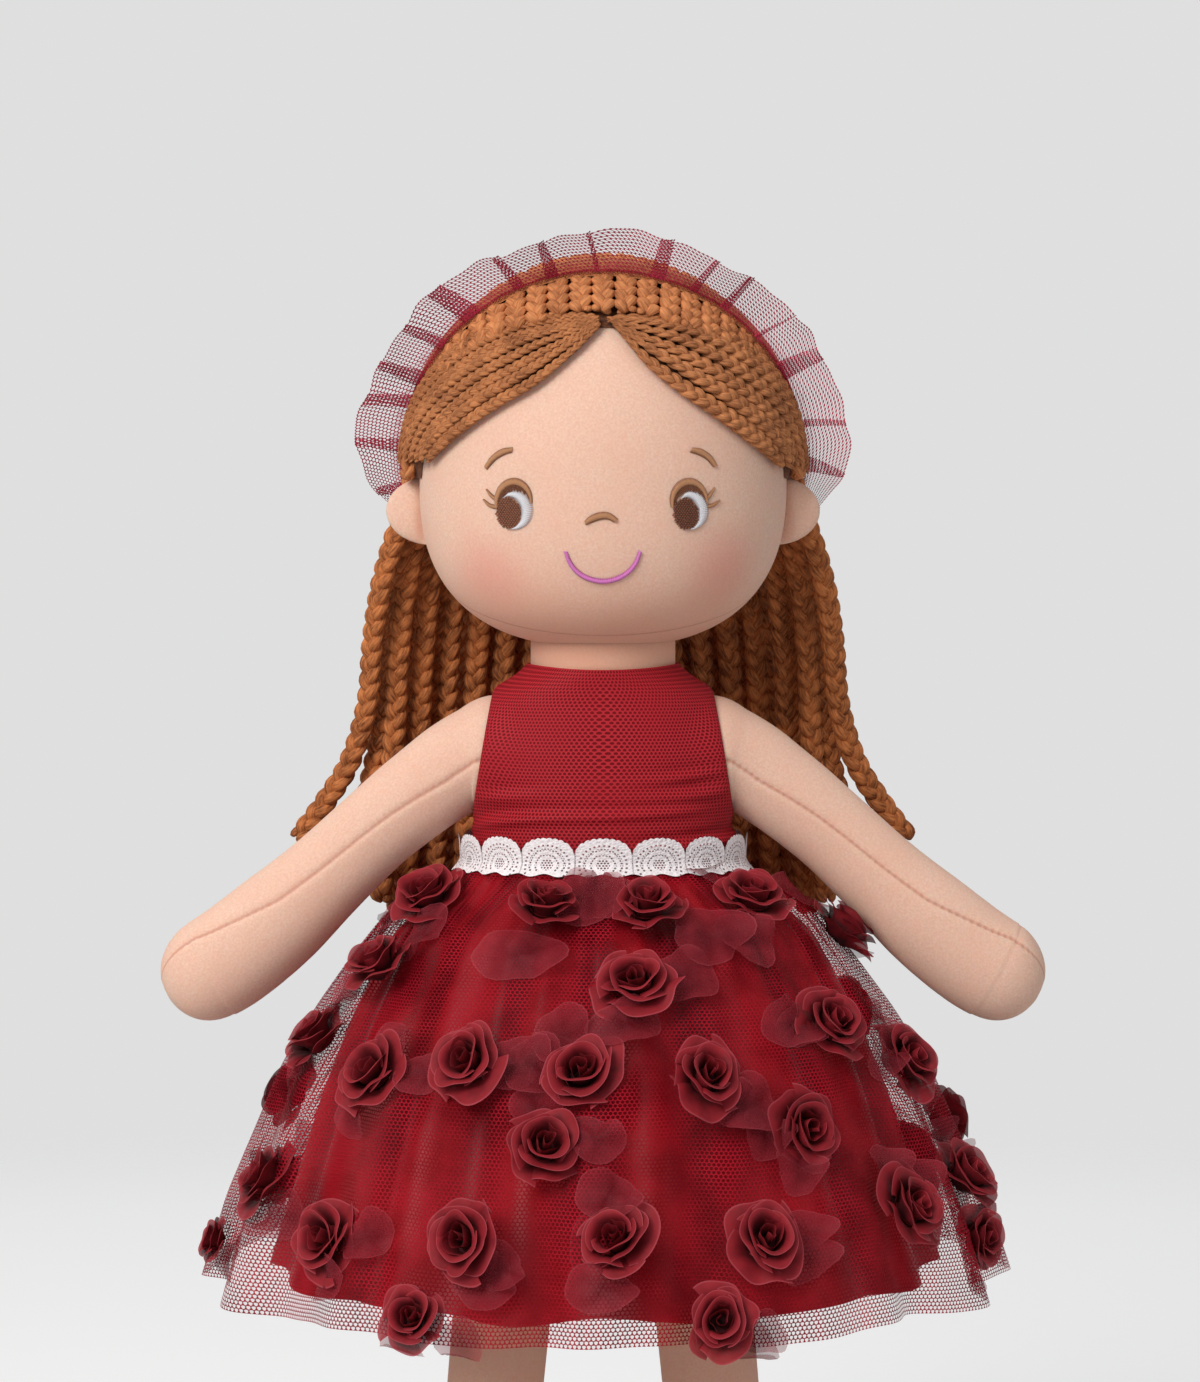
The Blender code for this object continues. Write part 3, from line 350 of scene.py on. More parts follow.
class Nodes:
    """A node tree, with short calls for the nodes that the materials share."""

    def __init__(self, tree):
        self.tree = tree

    def give(self, node, key, value):
        """Links a socket or sets a value, for an input by its name or number."""
        if isinstance(value, bpy.types.NodeSocket):
            self.tree.links.new(value, node.inputs[key])
        else:
            node.inputs[key].default_value = value

    def add(self, kind, inputs=(), **settings):
        """A new node with its settings, and its inputs by their names or numbers."""
        made = self.tree.nodes.new("ShaderNode" + kind)
        for key, value in settings.items():
            setattr(made, key, value)
        for key, value in dict(inputs).items():
            self.give(made, key, value)
        return made

    def math(self, kind, a, b=0.0):
        return self.add("Math", enumerate((a, b)), operation=kind).outputs[0]

    def plus(self, a, b):
        return self.math("ADD", a, b)

    def minus(self, a, b):
        return self.math("SUBTRACT", a, b)

    def times(self, a, b):
        return self.math("MULTIPLY", a, b)

    def most(self, a, b):
        return self.math("MAXIMUM", a, b)

    def vector(self, kind, a, b):
        return self.add("VectorMath", enumerate((a, b)), operation=kind).outputs

    def dot(self, vector, x, y, z):
        return self.vector("DOT_PRODUCT", vector, (x, y, z))["Value"]

    def distance(self, vector, centre):
        return self.vector("DISTANCE", vector, centre)["Value"]

    def scaled(self, vector, x, y):
        return self.vector("MULTIPLY", vector, (x, y, 0.0))["Vector"]

    def ease(self, value, low, high, start=0.0, end=1.0):
        inputs = {"Value": value, "From Min": low, "From Max": high, "To Min": start, "To Max": end}
        return self.add("MapRange", inputs, interpolation_type="SMOOTHSTEP").outputs["Result"]

    def noise(self, vector, scale, detail=2.0, roughness=0.5):
        inputs = {"Vector": vector, "Scale": scale, "Detail": detail, "Roughness": roughness}
        return self.add("TexNoise", inputs).outputs["Fac"]

    def mix(self, share, a, b):
        return self.add("Mix", {0: share, 6: a, 7: b}, data_type="RGBA").outputs[2]

    def blend(self, share, under, over):
        """Two shaders, the upper one by the share, led to the tree's output."""
        made = self.add("MixShader", enumerate((share, under, over)))
        output = next(node for node in self.tree.nodes if node.name in ("Material Output", "World Output"))
        self.give(output, "Surface", made.outputs[0])

    def seen_directly(self):
        """1 for what the camera sees itself, in gloss or through glass, and 0 for light on the cloth."""
        rays = self.add("LightPath").outputs
        return self.most(self.most(rays["Is Camera Ray"], rays["Is Glossy Ray"]), rays["Is Transmission Ray"])


class Recipe(Nodes):
    """A material and its principled shader."""

    def __init__(self, name, roughness=0.9, sheen=0.0, gloss=None, sheen_tint=None):
        self.material = bpy.data.materials.new(name)
        self.material.use_nodes = True
        super().__init__(self.material.node_tree)
        self.shader = self.tree.nodes["Principled BSDF"]
        self.set("Roughness", roughness)
        self.set("Sheen Weight", sheen)
        if gloss is not None:
            self.set("Specular IOR Level", gloss)
        if sheen_tint is not None:
            self.set("Sheen Tint", linear(*sheen_tint))

    def set(self, key, value):
        self.give(self.shader, key, value)

    def place(self):
        return self.add("TexCoord").outputs["Object"]

    def uv(self):
        return self.add("UVMap").outputs["UV"]

    def bump(self, height, distance, strength):
        inputs = {"Height": height, "Distance": distance, "Strength": strength}
        self.set("Normal", self.add("Bump", inputs).outputs["Normal"])

    def honeycomb(self, cell, threshold, softness):
        """1 on the threads of a net and 0 in its holes: three cosines at 60 degrees to each other."""
        place = self.uv()
        k = TURN / cell
        ways = ((1.0, -0.577), (0.0, 1.1547), (1.0, 0.577))
        waves = [self.math("COSINE", self.dot(place, k * a, k * b, 0.0)) for a, b in ways]
        total = self.plus(self.plus(waves[0], waves[1]), waves[2])
        return self.ease(total, threshold - softness, threshold + softness, 1.0, 0.0)

    def see_through(self, share):
        """The cloth shows by that share, and what is behind it by the rest."""
        self.blend(share, self.add("BsdfTransparent").outputs[0], self.shader.outputs[0])


def skin_material(name, blush_and_chin_shade=False, arm_seam=False, painted_shade=0.0):
    """Short velour cloth: fine grain in its height and colour; rosy cheeks, seams and painted shade where the
    piece has them.
    """
    made = Recipe(name, 0.95, 0.04, 0.08, (255, 200, 170))
    made.set("Subsurface Weight", 0.35)
    made.set("Subsurface Radius", (0.009, 0.003, 0.0015))
    made.set("Subsurface Scale", 0.7)
    place = made.place()
    grain = made.noise(place, 1500.0, 3.0, 0.65)
    cloud = made.noise(place, 60.0, 2.0)
    colour = made.mix(made.ease(grain, 0.3, 0.75), linear(228, 184, 162), linear(238, 202, 182))
    colour = made.mix(made.times(made.ease(cloud, 0.35, 0.75), 0.25), colour, linear(233, 178, 154))
    # Painted shade: by this share the whole piece darkens towards a deeper, redder skin colour.
    colour = made.mix(painted_shade, colour, linear(222, 158, 130))
    height = grain
    if blush_and_chin_shade:
        for centre in ((-0.031, -0.0292, 0.351), (0.0327, -0.0295, 0.353)):
            away = made.distance(place, centre)
            colour = made.mix(made.ease(away, 0.001, 0.019, 0.5, 0.0), colour, linear(228, 140, 126))
        # Painted shade under the chin: the lower face darkens towards a deeper, redder skin colour.
        low = made.dot(place, 0.0, 0.0, 1.0)
        colour = made.mix(made.ease(low, 0.33, 0.356, 0.55, 0.0), colour, linear(222, 158, 130))
        flat = made.dot(place, 0.0, -0.459, 0.889)
        off_seam = made.math("ABSOLUTE", made.minus(flat, 0.3087))
        line = made.ease(off_seam, 0.0, 0.0006, 1.0, 0.0)
        front = made.ease(made.dot(place, 0.0, -1.0, 0.0), -0.002, 0.004)
        line = made.times(line, front)
        colour = made.mix(made.times(line, 0.35), colour, linear(176, 116, 96))
        height = made.minus(grain, made.times(line, 2.2))
    if arm_seam:
        u = made.dot(made.uv(), 1.0, 0.0, 0.0)
        line = made.ease(made.math("ABSOLUTE", u), 0.0002, 0.0009, 1.0, 0.0)
        colour = made.mix(made.times(line, 0.45), colour, linear(190, 118, 96))
        height = made.minus(grain, made.times(line, 1.2))
    made.set("Base Color", colour)
    made.bump(height, 0.00012, 0.7)
    return made.material


def yarn_material(name, light, dark):
    """Acrylic yarn: fine fibres that run along each strand with a slight twist."""
    made = Recipe(name, 0.75, 0.08, 0.25, (235, 170, 110))
    uv = made.uv()
    across = made.dot(uv, 9.0, 650.0, 0.0)
    slow = made.dot(uv, -14.0, 900.0, 0.0)
    fibres = made.noise(made.scaled(uv, 16.0, 420.0), 1.0, 3.0, 0.6)
    ply = made.math("ABSOLUTE", made.math("SINE", across))
    patches = made.noise(made.place(), 130.0, 2.0)
    tone = made.plus(made.times(fibres, 0.7), made.times(patches, 0.35))
    made.set("Base Color", made.mix(made.ease(tone, 0.3, 0.72), linear(*dark), linear(*light)))
    height = made.plus(made.times(fibres, 0.8), made.times(ply, 0.35))
    height = made.plus(height, made.times(made.math("SINE", slow), 0.1))
    made.bump(height, 0.00035, 0.9)
    return made.material


def satin_material(name, netted):
    """Red satin with a soft cloudy tone; the skirt has painted shade in its fold valleys, and the bodice has
    fine net laid on it.
    """
    made = Recipe(name, 0.6, gloss=0.12) if netted else Recipe(name, 0.42, gloss=0.3)
    cloud = made.noise(made.place(), 45.0, 3.0)
    colour = made.mix(made.ease(cloud, 0.3, 0.7), linear(160, 14, 22), linear(192, 24, 30))
    if not netted:
        across = made.dot(made.place(), 1.0, 0.0, 0.0)
        turn = made.math("ARCTAN2", made.dot(made.place(), 0.0, 1.0, 0.0), across)
        sway = made.times(made.math("SINE", made.times(turn, 3.0)), 0.6)
        fold = made.math("COSINE", made.plus(made.times(turn, 14.0), sway))
        level = made.dot(made.place(), 0.0, 0.0, 1.0)
        # Painted shade in the valleys of the skirt's folds, weaker towards the hem.
        fold_shade = made.times(made.ease(fold, -0.8, 0.5, 0.85, 0.0), made.ease(level, 0.15, 0.225, 0.4, 1.0))
        colour = made.mix(fold_shade, colour, linear(84, 5, 10))
    weave = made.noise(made.scaled(made.uv(), 900.0, 3200.0), 1.0, 2.0)
    height = made.times(weave, 0.3)
    if netted:
        threads = made.honeycomb(0.00115, 0.1, 0.45)
        colour = made.mix(threads, linear(104, 6, 14), linear(178, 38, 48))
        colour = made.mix(made.times(made.ease(cloud, 0.35, 0.7), 0.25), colour, linear(158, 24, 34))
        height = made.plus(height, threads)
    made.set("Base Color", colour)
    made.bump(height, 0.0002, 0.7)
    return made.material


def net_material(name, cell, threads, threshold, tint, least, softness, gathered=0.0):
    """Nylon net: opaque threads round open holes; least is what a hole still holds back.

    Where gathered is more than 0 the net is denser from its first edge up to that width.
    """
    made = Recipe(name, 0.7, gloss=0.06)
    cloud = made.noise(made.place(), 70.0, 2.0)
    made.set("Base Color", made.mix(made.ease(cloud, 0.35, 0.7), threads, tint))
    mask = made.most(made.honeycomb(cell, threshold, softness), least)
    if gathered > 0.0:
        up = made.dot(made.uv(), 0.0, 1.0, 0.0)
        streaks = made.noise(made.scaled(made.uv(), 1400.0, 60.0), 1.0, 2.0)
        close = made.times(made.ease(up, 0.0, gathered, 0.75, 0.0), made.ease(streaks, 0.3, 0.7))
        mask = made.most(mask, close)
    made.see_through(mask)
    return made.material


def chiffon_material(name, share, light, dark):
    """Stiff chiffon petals: finely woven, a little see-through, with painted shade towards each petal's base
    and painted light along its edge.
    """
    made = Recipe(name, 0.65, 0.06, 0.2, (255, 120, 120))
    uv = made.uv()
    up = made.dot(uv, 0.0, 1.0, 0.0)
    cloud = made.noise(made.place(), 190.0, 3.0)
    weave = made.noise(made.place(), 2600.0, 1.0)
    # Painted shade: darker towards each petal's base, deep in the rose, and lighter towards its lip, broken
    # by a random cloud.
    tone = made.plus(made.times(up, 0.55), made.times(cloud, 0.6))
    colour = made.mix(made.ease(tone, 0.25, 0.95), linear(*dark), linear(*light))
    # Painted light: a paler band along each petal's thin edge.
    rim = made.ease(up, 0.95, 1.0, 0.0, 0.55)
    made.set("Base Color", made.mix(rim, colour, linear(186, 82, 92)))
    made.bump(weave, 0.00005, 0.5)
    made.see_through(made.ease(up, 0.0, 1.0, share + 0.12, share))
    return made.material


def lace_material(name):
    """White cotton lace: rows of holes along the scallops and arcs in them, over a close stitch."""
    made = Recipe(name, 0.9)
    uv = made.uv()
    x = made.dot(uv, 1.0, 0.0, 0.0)
    y = made.dot(uv, 0.0, 1.0, 0.0)
    lift = made.minus(y, 0.003)
    away = made.math("SQRT", made.plus(made.times(x, x), made.times(lift, lift)))
    angle = made.math("ARCTAN2", lift, x)
    dots = made.ease(made.math("SINE", made.times(angle, 30.0)), 0.0, 0.5)
    eyelets = made.ease(made.math("ABSOLUTE", made.minus(away, 0.0056)), 0.00018, 0.00036, 1.0, 0.0)
    mesh = made.minus(1.0, made.honeycomb(0.0008, -0.2, 0.5))
    inside = made.ease(away, 0.0046, 0.0049, 1.0, 0.0)
    for reach in (0.0036, 0.0021):
        off_arc = made.math("ABSOLUTE", made.minus(away, reach))
        inside = made.times(inside, made.ease(off_arc, 0.00035, 0.0006))
    inside = made.times(inside, made.ease(y, 0.0008, 0.0011))
    holes = made.most(made.times(eyelets, dots), made.times(mesh, inside))
    stitch = made.add("TexVoronoi", {"Vector": uv, "Scale": 1500.0}).outputs["Distance"]
    colour = made.mix(made.ease(stitch, 0.1, 0.7), linear(232, 222, 224), linear(246, 240, 242))
    made.set("Base Color", colour)
    made.bump(made.minus(1.0, stitch), 0.0003, 0.8)
    made.see_through(made.minus(1.0, made.times(holes, 0.85)))
    return made.material


def thread_material(name, light, dark):
    """Embroidery thread: fine twist across each stitch, and painted shade towards each stitch's ends."""
    made = Recipe(name, 0.6, 0.05)
    uv = made.uv()
    twist = made.math("SINE", made.dot(uv, TURN * 3.0, 40.0, 0.0))
    grain = made.noise(made.place(), 1800.0, 2.0)
    # Painted shade: each stitch is lighter in its middle and darker towards its ends, where it sinks into the
    # cloth.
    middle = made.math("SINE", made.times(made.dot(uv, 0.0, 1.0, 0.0), math.pi))
    tone = made.plus(made.times(grain, 0.5), made.times(middle, 0.5))
    made.set("Base Color", made.mix(made.ease(tone, 0.25, 0.75), linear(*dark), linear(*light)))
    made.bump(twist, 0.00008, 0.6)
    return made.material


def plain_cloth(name, light, dark):
    """Matt cloth with a fine grain in its colour and height."""
    made = Recipe(name, 0.9, 0.05)
    grain = made.noise(made.place(), 900.0, 3.0, 0.6)
    made.set("Base Color", made.mix(made.ease(grain, 0.3, 0.7), linear(*dark), linear(*light)))
    made.bump(grain, 0.0003, 0.8)
    return made.material


# Hair


def plait(path, out, width, period, phase, sides=8):
    """A flat three-strand plait along a path, its broad side facing out.

    Each strand swings across by sin(s) and in and out by -sin(2s), a third of a turn after the last,
    so that the outer strands fall over the middle one in a row of Vs. A strand is an oval tube.
    """
    step = np.linalg.norm(path[1] - path[0])
    along = np.arange(len(path)) * step
    width = np.broadcast_to(width, (len(path),))[:, None]
    forward = heading(path)
    across = unit(np.cross(out, forward))
    outward = np.cross(forward, across)
    tip = np.clip(np.minimum(along + 0.0004, along[-1] - along + 0.0004) / 0.0022, 0.0, 1.0) ** 0.5
    around = circle(sides)
    parts = []
    for strand in range(3):
        swing = (TURN * along / period + TURN * strand / 3.0 + phase)[:, None]
        sideways, inwards = 0.265 * width * np.sin(swing), 0.155 * width * np.sin(2.0 * swing)
        centre = path + across * sideways - outward * inwards
        ahead = heading(centre)
        wide = unit(np.cross(outward, ahead))
        thick = np.cross(ahead, wide)
        swell = 1.0 + 0.09 * np.cos(2.0 * swing[:, 0] + 0.9)
        half_wide = (0.24 * width[:, 0] * swell * tip)[:, None, None]
        half_thick = (0.17 * width[:, 0] * swell * tip)[:, None, None]
        uv = uv_grid(np.linspace(0.0, 1.0, sides + 1), along + strand * 0.37 + phase)
        sizes = (wide[:, None], half_wide), (thick[:, None], half_thick)
        parts.append(tube(centre, around, *sizes, uv, flip=True))
    return parts


# Hanging plaits on the right side from the crown's rim down: the doll's CAD routes, in metres.
ROUTES = (
    ((-0.0576, 0.0108, 0.3718), (-0.0625, 0.014, 0.363), (-0.0675, 0.019, 0.347), (-0.0705, 0.025, 0.33),
     (-0.0725, 0.03, 0.311), (-0.078, 0.034, 0.293), (-0.086, 0.037, 0.28), (-0.095, 0.039, 0.268)),
    ((-0.0544, 0.0196, 0.3726), (-0.0575, 0.022, 0.36), (-0.061, 0.026, 0.343), (-0.063, 0.03, 0.325),
     (-0.064, 0.033, 0.307), (-0.0655, 0.0345, 0.287), (-0.0675, 0.0355, 0.267), (-0.069, 0.036, 0.249)),
    ((-0.0494, 0.0278, 0.3729), (-0.0515, 0.03, 0.358), (-0.054, 0.033, 0.341), (-0.0558, 0.036, 0.324),
     (-0.0568, 0.038, 0.306), (-0.0585, 0.04, 0.287), (-0.0605, 0.042, 0.268), (-0.062, 0.043, 0.251)),
    ((-0.043, 0.035, 0.3731), (-0.0445, 0.037, 0.357), (-0.0463, 0.0395, 0.34), (-0.0478, 0.0415, 0.323),
     (-0.0488, 0.043, 0.305), (-0.0502, 0.0445, 0.287), (-0.0518, 0.046, 0.269), (-0.053, 0.0475, 0.253)),
    ((-0.035, 0.0413, 0.3731), (-0.0363, 0.0425, 0.356), (-0.038, 0.0438, 0.339), (-0.0395, 0.045, 0.322),
     (-0.0406, 0.0462, 0.304), (-0.0418, 0.0472, 0.287), (-0.043, 0.0486, 0.27), (-0.0438, 0.0503, 0.257)),
    ((-0.0258, 0.0461, 0.3731), (-0.0273, 0.047, 0.356), (-0.0293, 0.0475, 0.339), (-0.031, 0.0478, 0.322),
     (-0.0324, 0.0483, 0.304), (-0.0334, 0.049, 0.287), (-0.0344, 0.0502, 0.271), (-0.0352, 0.052, 0.258)),
    ((-0.0158, 0.0494, 0.3731), (-0.0175, 0.05, 0.356), (-0.0197, 0.05, 0.339), (-0.0218, 0.0498, 0.322),
     (-0.0235, 0.05, 0.304), (-0.0244, 0.0506, 0.287), (-0.0252, 0.0516, 0.272), (-0.0258, 0.0532, 0.26)),
    ((-0.0049, 0.0511, 0.3731), (-0.0065, 0.0515, 0.356), (-0.009, 0.0513, 0.339), (-0.0115, 0.051, 0.322),
     (-0.0135, 0.051, 0.304), (-0.0145, 0.0514, 0.288), (-0.0152, 0.0523, 0.274), (-0.0158, 0.054, 0.262)),
)


def plait_routes():
    """The CAD routes, one further back between each two of them, and one by the middle of the nape."""
    routes = np.array(ROUTES)
    sink = np.linspace(0.0, 1.0, routes.shape[1])
    nape = routes[-1].copy()
    nape[:, 0] = -0.004 - 0.0012 * sink
    between = np.concatenate(((routes[:-1] + routes[1:]) / 2.0, nape[None]))
    for number, route in enumerate(between):
        route[:, 1] += 0.005 * np.minimum(1.0, sink / 0.25) - 0.0015 * sink
        route[:, 0] += 0.0016 * math.sin(number * 2.1) * sink
        route[:, 2] -= (0.001 + 0.004 * (0.5 + 0.5 * math.sin(number * 1.7))) * sink
    return [(route, True) for route in routes] + [(route, False) for route in between]


def make_hanging_plaits(hair):
    """Free plaits in two layers; each curves from the head down towards the body below."""
    # A darker, more saturated copy of the yarn: painted shade for the plaits that hang round the back of the
    # head.
    yarn = yarn_material("yarn_hanging", (208, 126, 70), (90, 44, 20))
    for name, side in SIDES.items():
        for number, (route, solid) in enumerate(plait_routes(), 1):
            path = smooth_path(route * (-side, 1.0, 1.0), 0.0008)
            spin = 0.3 * math.sin(number * 2.3 + side)
            out = np.broadcast_to(unit((side * (0.25 + spin), -0.9, 0.0)), path.shape)
            parts = plait(path, out, hair.plait_width, hair.plait_width * hair.period, number * 1.3 + side)
            piece = build(f"{name}_plait_{number}", parts, yarn)
            if solid:
                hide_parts(f"{name}_braid_{number}")
            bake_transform(piece)


# The fringe's lower edges from the parting to the ears, as points (x, y, z) in metres.
FRINGE_LOW = {
    "right": (
        (-0.0012, -0.0371, 0.4238), (-0.0093, -0.0417, 0.4158), (-0.0202, -0.0425, 0.4066),
        (-0.0312, -0.0395, 0.4005), (-0.0425, -0.033, 0.393), (-0.053, -0.019, 0.3822),
    ),
    "left": (
        (0.0042, -0.0375, 0.4232), (0.012, -0.0415, 0.4136), (0.0225, -0.042, 0.4054),
        (0.033, -0.039, 0.3988), (0.043, -0.032, 0.3915), (0.0532, -0.0185, 0.3824),
    ),
}
# Its upper edge on the right. The left one is its mirror image.
FRINGE_HIGH = (
    (-0.0012, -0.036, 0.4256), (-0.0165, -0.0337, 0.4262), (-0.0255, -0.0304, 0.425),
    (-0.035, -0.0262, 0.4212), (-0.044, -0.0204, 0.4155), (-0.0525, -0.0125, 0.4075),
    (-0.059, -0.004, 0.3975), (-0.061, 0.0, 0.388), (-0.0615, 0.0025, 0.38),
)
# How far the crown's rows stand off the head, and how far below its widest level they end.
ROW_LIFT, ROW_RIM = 0.0034, 0.01
# Where the crown's rows start behind the fringe: distance from the middle, and depth.
FRINGE_BACK_X = (0.0, 0.0187, 0.0317, 0.044, 0.0525, 0.0585, 0.0625)
FRINGE_BACK_Y = (-0.0345, -0.034, -0.03, -0.023, -0.014, -0.006, 0.0)


def make_fringe(hair):
    """Plaits that fan from the parting and gather again at the ear, laid over the forehead."""
    yarn = yarn_material("yarn_fringe", hair.yarn_light, hair.yarn_dark)
    # A dark sheet laid under the plaits: painted shade that shows in the gaps between them.
    shade = plain_cloth("fringe_painted_shade", (92, 50, 26), (50, 25, 12))
    for name, side in SIDES.items():
        edges = FRINGE_LOW[name], np.array(FRINGE_HIGH) * (-side, 1.0, 1.0)
        edges = [smooth_path(edge, 0.0008) for edge in edges]
        share = np.linspace(0.0, 1.0, min(len(edge) for edge in edges))
        low, high = (columns_at(share, np.linspace(0.0, 1.0, len(edge)), edge) for edge in edges)
        rows, widest = (hair.right_fringe_count, 0.004) if side < 0 else (hair.left_fringe_count, 0.0058)
        spacing = np.linalg.norm(high - low, axis=1) / (rows - 1)
        parts = []
        for k in range(rows):
            t = k / (rows - 1)
            off = (0.0024 + 0.0036 * t * share**0.8 + 0.0003 * math.sin(k * 2.1))[:, None]
            path = smooth_path(on_head(low * (1.0 - t) + high * t, off)[::6], 0.0006)
            apart = np.interp(np.linspace(0.0, 1.0, len(path)), share, spacing)
            width = np.clip(0.97 * apart, 0.0024, widest)
            parts += plait(path, head_out(path), width, widest * hair.period, k * 1.7)
        across = np.linspace(0.0, 1.0, 12)[:, None, None]
        held = share < 0.92
        low, high, share = low[held], high[held], share[held]
        off = 0.0008 + 0.003 * across * share[:, None] ** 0.8
        under = on_head(low * (1.0 - across) + high * across, off)
        parts.append(grid(under, material=1, flip=side > 0))
        piece = build(f"{name}_fringe_plaits", parts, yarn, shade)
        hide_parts(f"{name}_fringe")
        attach(piece, "head")


def row_point(across, back, off):
    """A point over the crown: across is the turn towards an ear, back the turn from the top to the nape."""
    sizes, drop, height = head_sizes(off)
    lift = np.cos(across) * np.cos(back)
    x = sizes[0] * np.sin(across)
    y = sizes[1] * np.cos(across) * np.sin(back)
    z = height + np.where(lift > 0.0, sizes[2], drop) * lift
    return join(x, y, z)


def band_depth(lift):
    """How far back the headdress's band lies at a height over the head's centre."""
    wear = bpy.context.scene.rag_doll_headdress
    return wear.setback - wear.lean * lift / CROWN_RISE


def make_crown(hair):
    """A cloth base over the crown, plaits in front of the band and down the back, a plain strip between."""
    _, _, height = head_sizes()
    light, dark = [1.08 * step for step in hair.yarn_light], [1.2 * step for step in hair.yarn_dark]
    yarn = yarn_material("yarn_crown", light, dark)
    base = plain_cloth("wig_base", (118, 68, 38), (66, 34, 17))
    turns = np.radians(np.linspace(-89.0, 120.0, 420))
    limit = math.radians(83.0)
    front, back = {"right": [], "left": []}, {"right": [], "left": []}
    for number, across in enumerate(np.linspace(-limit, limit, hair.row_count)):
        side = "right" if across < 0 else "left"
        line = row_point(across, turns, ROW_LIFT)
        lift = line[:, 2] - height
        start = np.interp(abs(line[0, 0]), FRINGE_BACK_X, FRINGE_BACK_Y)
        keep = (line[:, 1] > start) & (lift > -ROW_RIM)
        line, lift = line[keep], lift[keep]
        line = line + head_out(line) * (ROW_LIFT * np.clip(-lift / ROW_RIM, 0.0, 1.0) ** 1.5)[:, None]
        ahead = line[(line[:, 1] < band_depth(lift) + 0.001) & (lift > -0.0048)]
        behind = line[line[:, 1] > band_depth(lift) + 0.0135]
        for group, points in ((front, ahead), (back, behind)):
            if len(points) > 6 and np.linalg.norm(points[-1] - points[0]) > 0.005:
                if group is front:
                    points = points[::-1]
                path = smooth_path(points[:: max(1, len(points) // 16)], 0.0009)
                period = hair.row_width * 1.62
                group[side] += plait(path, head_out(path), hair.row_width, period, number * 1.1, 7)
    for name in SIDES:
        for word, group in (("front", front), ("back", back)):
            piece = build(f"{name}_{word}_rows", group[name], yarn)
            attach(piece, "head")
    across = np.radians(np.linspace(-89.5, 89.5, 60))
    ends = []
    for a in across:
        line = row_point(a, turns, 0.0016)
        start = np.interp(abs(line[0, 0]), FRINGE_BACK_X, FRINGE_BACK_Y) - 0.001
        good = turns[(line[:, 1] >= start) & (line[:, 2] - height > -0.0046)]
        ends.append((good[0], good[-1]) if len(good) else (0.0, 0.0))
    first, last = np.array(ends).T
    rows = []
    for share in np.linspace(0.0, 1.0, 46):
        off = 0.0003 + 0.002 * min(1.0, 8.0 * share, 8.0 * (1.0 - share))
        rows.append(row_point(across, first + share * (last - first), off))
    piece = build("crown_base", [grid(rows)], base)
    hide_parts("hair_cap")
    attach(piece, "head")
    make_crown_strip(plain_cloth("wig_cloth", (190, 118, 66), (128, 70, 34)))


def make_crown_strip(base):
    """The smooth strip of wig cloth behind the band, from ear to ear, a little padded."""
    turns = np.radians(np.linspace(-94.0, 94.0, 120))
    rows = []
    for share in np.linspace(0.0, 1.0, 15):
        off = 0.003 + 0.0036 * math.sin(math.pi * min(1.0, 0.12 + 0.8 * share)) ** 0.6
        rows.append(band_line(turns, off, 0.016 * share - 0.001)[0])
    strip = build("crown_strip", [grid(rows)], base)
    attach(strip, "head")


# Headdress


def band_line(turns, off, behind=0.0):
    """Points on the band's leaning loop, or behind it, standing off from the head, and the ways out of it."""
    wear = bpy.context.scene.rag_doll_headdress
    back = wear.setback + behind
    sizes, drop, height = head_sizes(off)
    slope = -wear.lean / CROWN_RISE
    a = slope**2 / sizes[1] ** 2 + 1.0 / sizes[2] ** 2
    b = 2.0 * back * slope / sizes[1] ** 2
    c = back**2 / sizes[1] ** 2 - 1.0
    top = (-b + math.sqrt(b * b - 4.0 * a * c)) / (2.0 * a)
    lift = top * np.cos(turns)
    depth = back + slope * lift
    tall = np.where(lift > 0.0, sizes[2], drop)
    left_over = 1.0 - (depth / sizes[1]) ** 2 - (lift / tall) ** 2
    width = np.sign(turns) * sizes[0] * np.sqrt(np.clip(left_over, 0.0, None))
    points = join(width, depth, height + lift)
    lean = unit((0.0, 1.0, -slope))
    out = join(width / sizes[0] ** 2, depth / sizes[1] ** 2, lift / tall**2)
    out = unit(out - (out @ lean)[..., None] * lean)
    return points, out, lean


# How far the band reaches down each side of the head from its top.
BAND_REACH = math.radians(99.0)


def pleat_turns(pleats):
    """The ruffle's turns round the band at its near and far edge, and how far each point sways out of it.

    The net runs forwards, back under itself and forwards again at each pleat, unevenly spaced.
    """
    rng = np.random.default_rng(5)
    edges = np.linspace(-BAND_REACH, BAND_REACH, pleats + 1)
    edges[1:-1] += (rng.random(pleats - 1) - 0.5) * 0.62 * (edges[1] - edges[0])
    near, far, leans = [], [], []
    for start, end in zip(edges[:-1], edges[1:]):
        gap = end - start
        fold = gap * (0.1 + 0.36 * rng.random())
        middle = (start + end) / 2.0 + gap * 0.34 * (rng.random() - 0.5)
        slant = gap * 0.34 * (rng.random() - 0.5)
        narrow = fold * (0.14 + 0.24 * rng.random())
        for places, half, centre in ((near, fold / 2.0, middle), (far, narrow, middle + slant)):
            places += np.linspace(start, centre + half, 12, endpoint=False).tolist()
            places += np.linspace(centre + half, centre - half, 6).tolist()
            places += np.linspace(centre - half, end, 12, endpoint=False)[1:].tolist()
        leans += [*(0.35 * np.sin(np.linspace(0.0, math.pi, 12))), *np.linspace(1.0, -1.0, 6)]
        leans += (-np.cos(np.linspace(0.0, QUARTER, 11))).tolist()
    return np.array(near), np.array(far), np.array(leans)


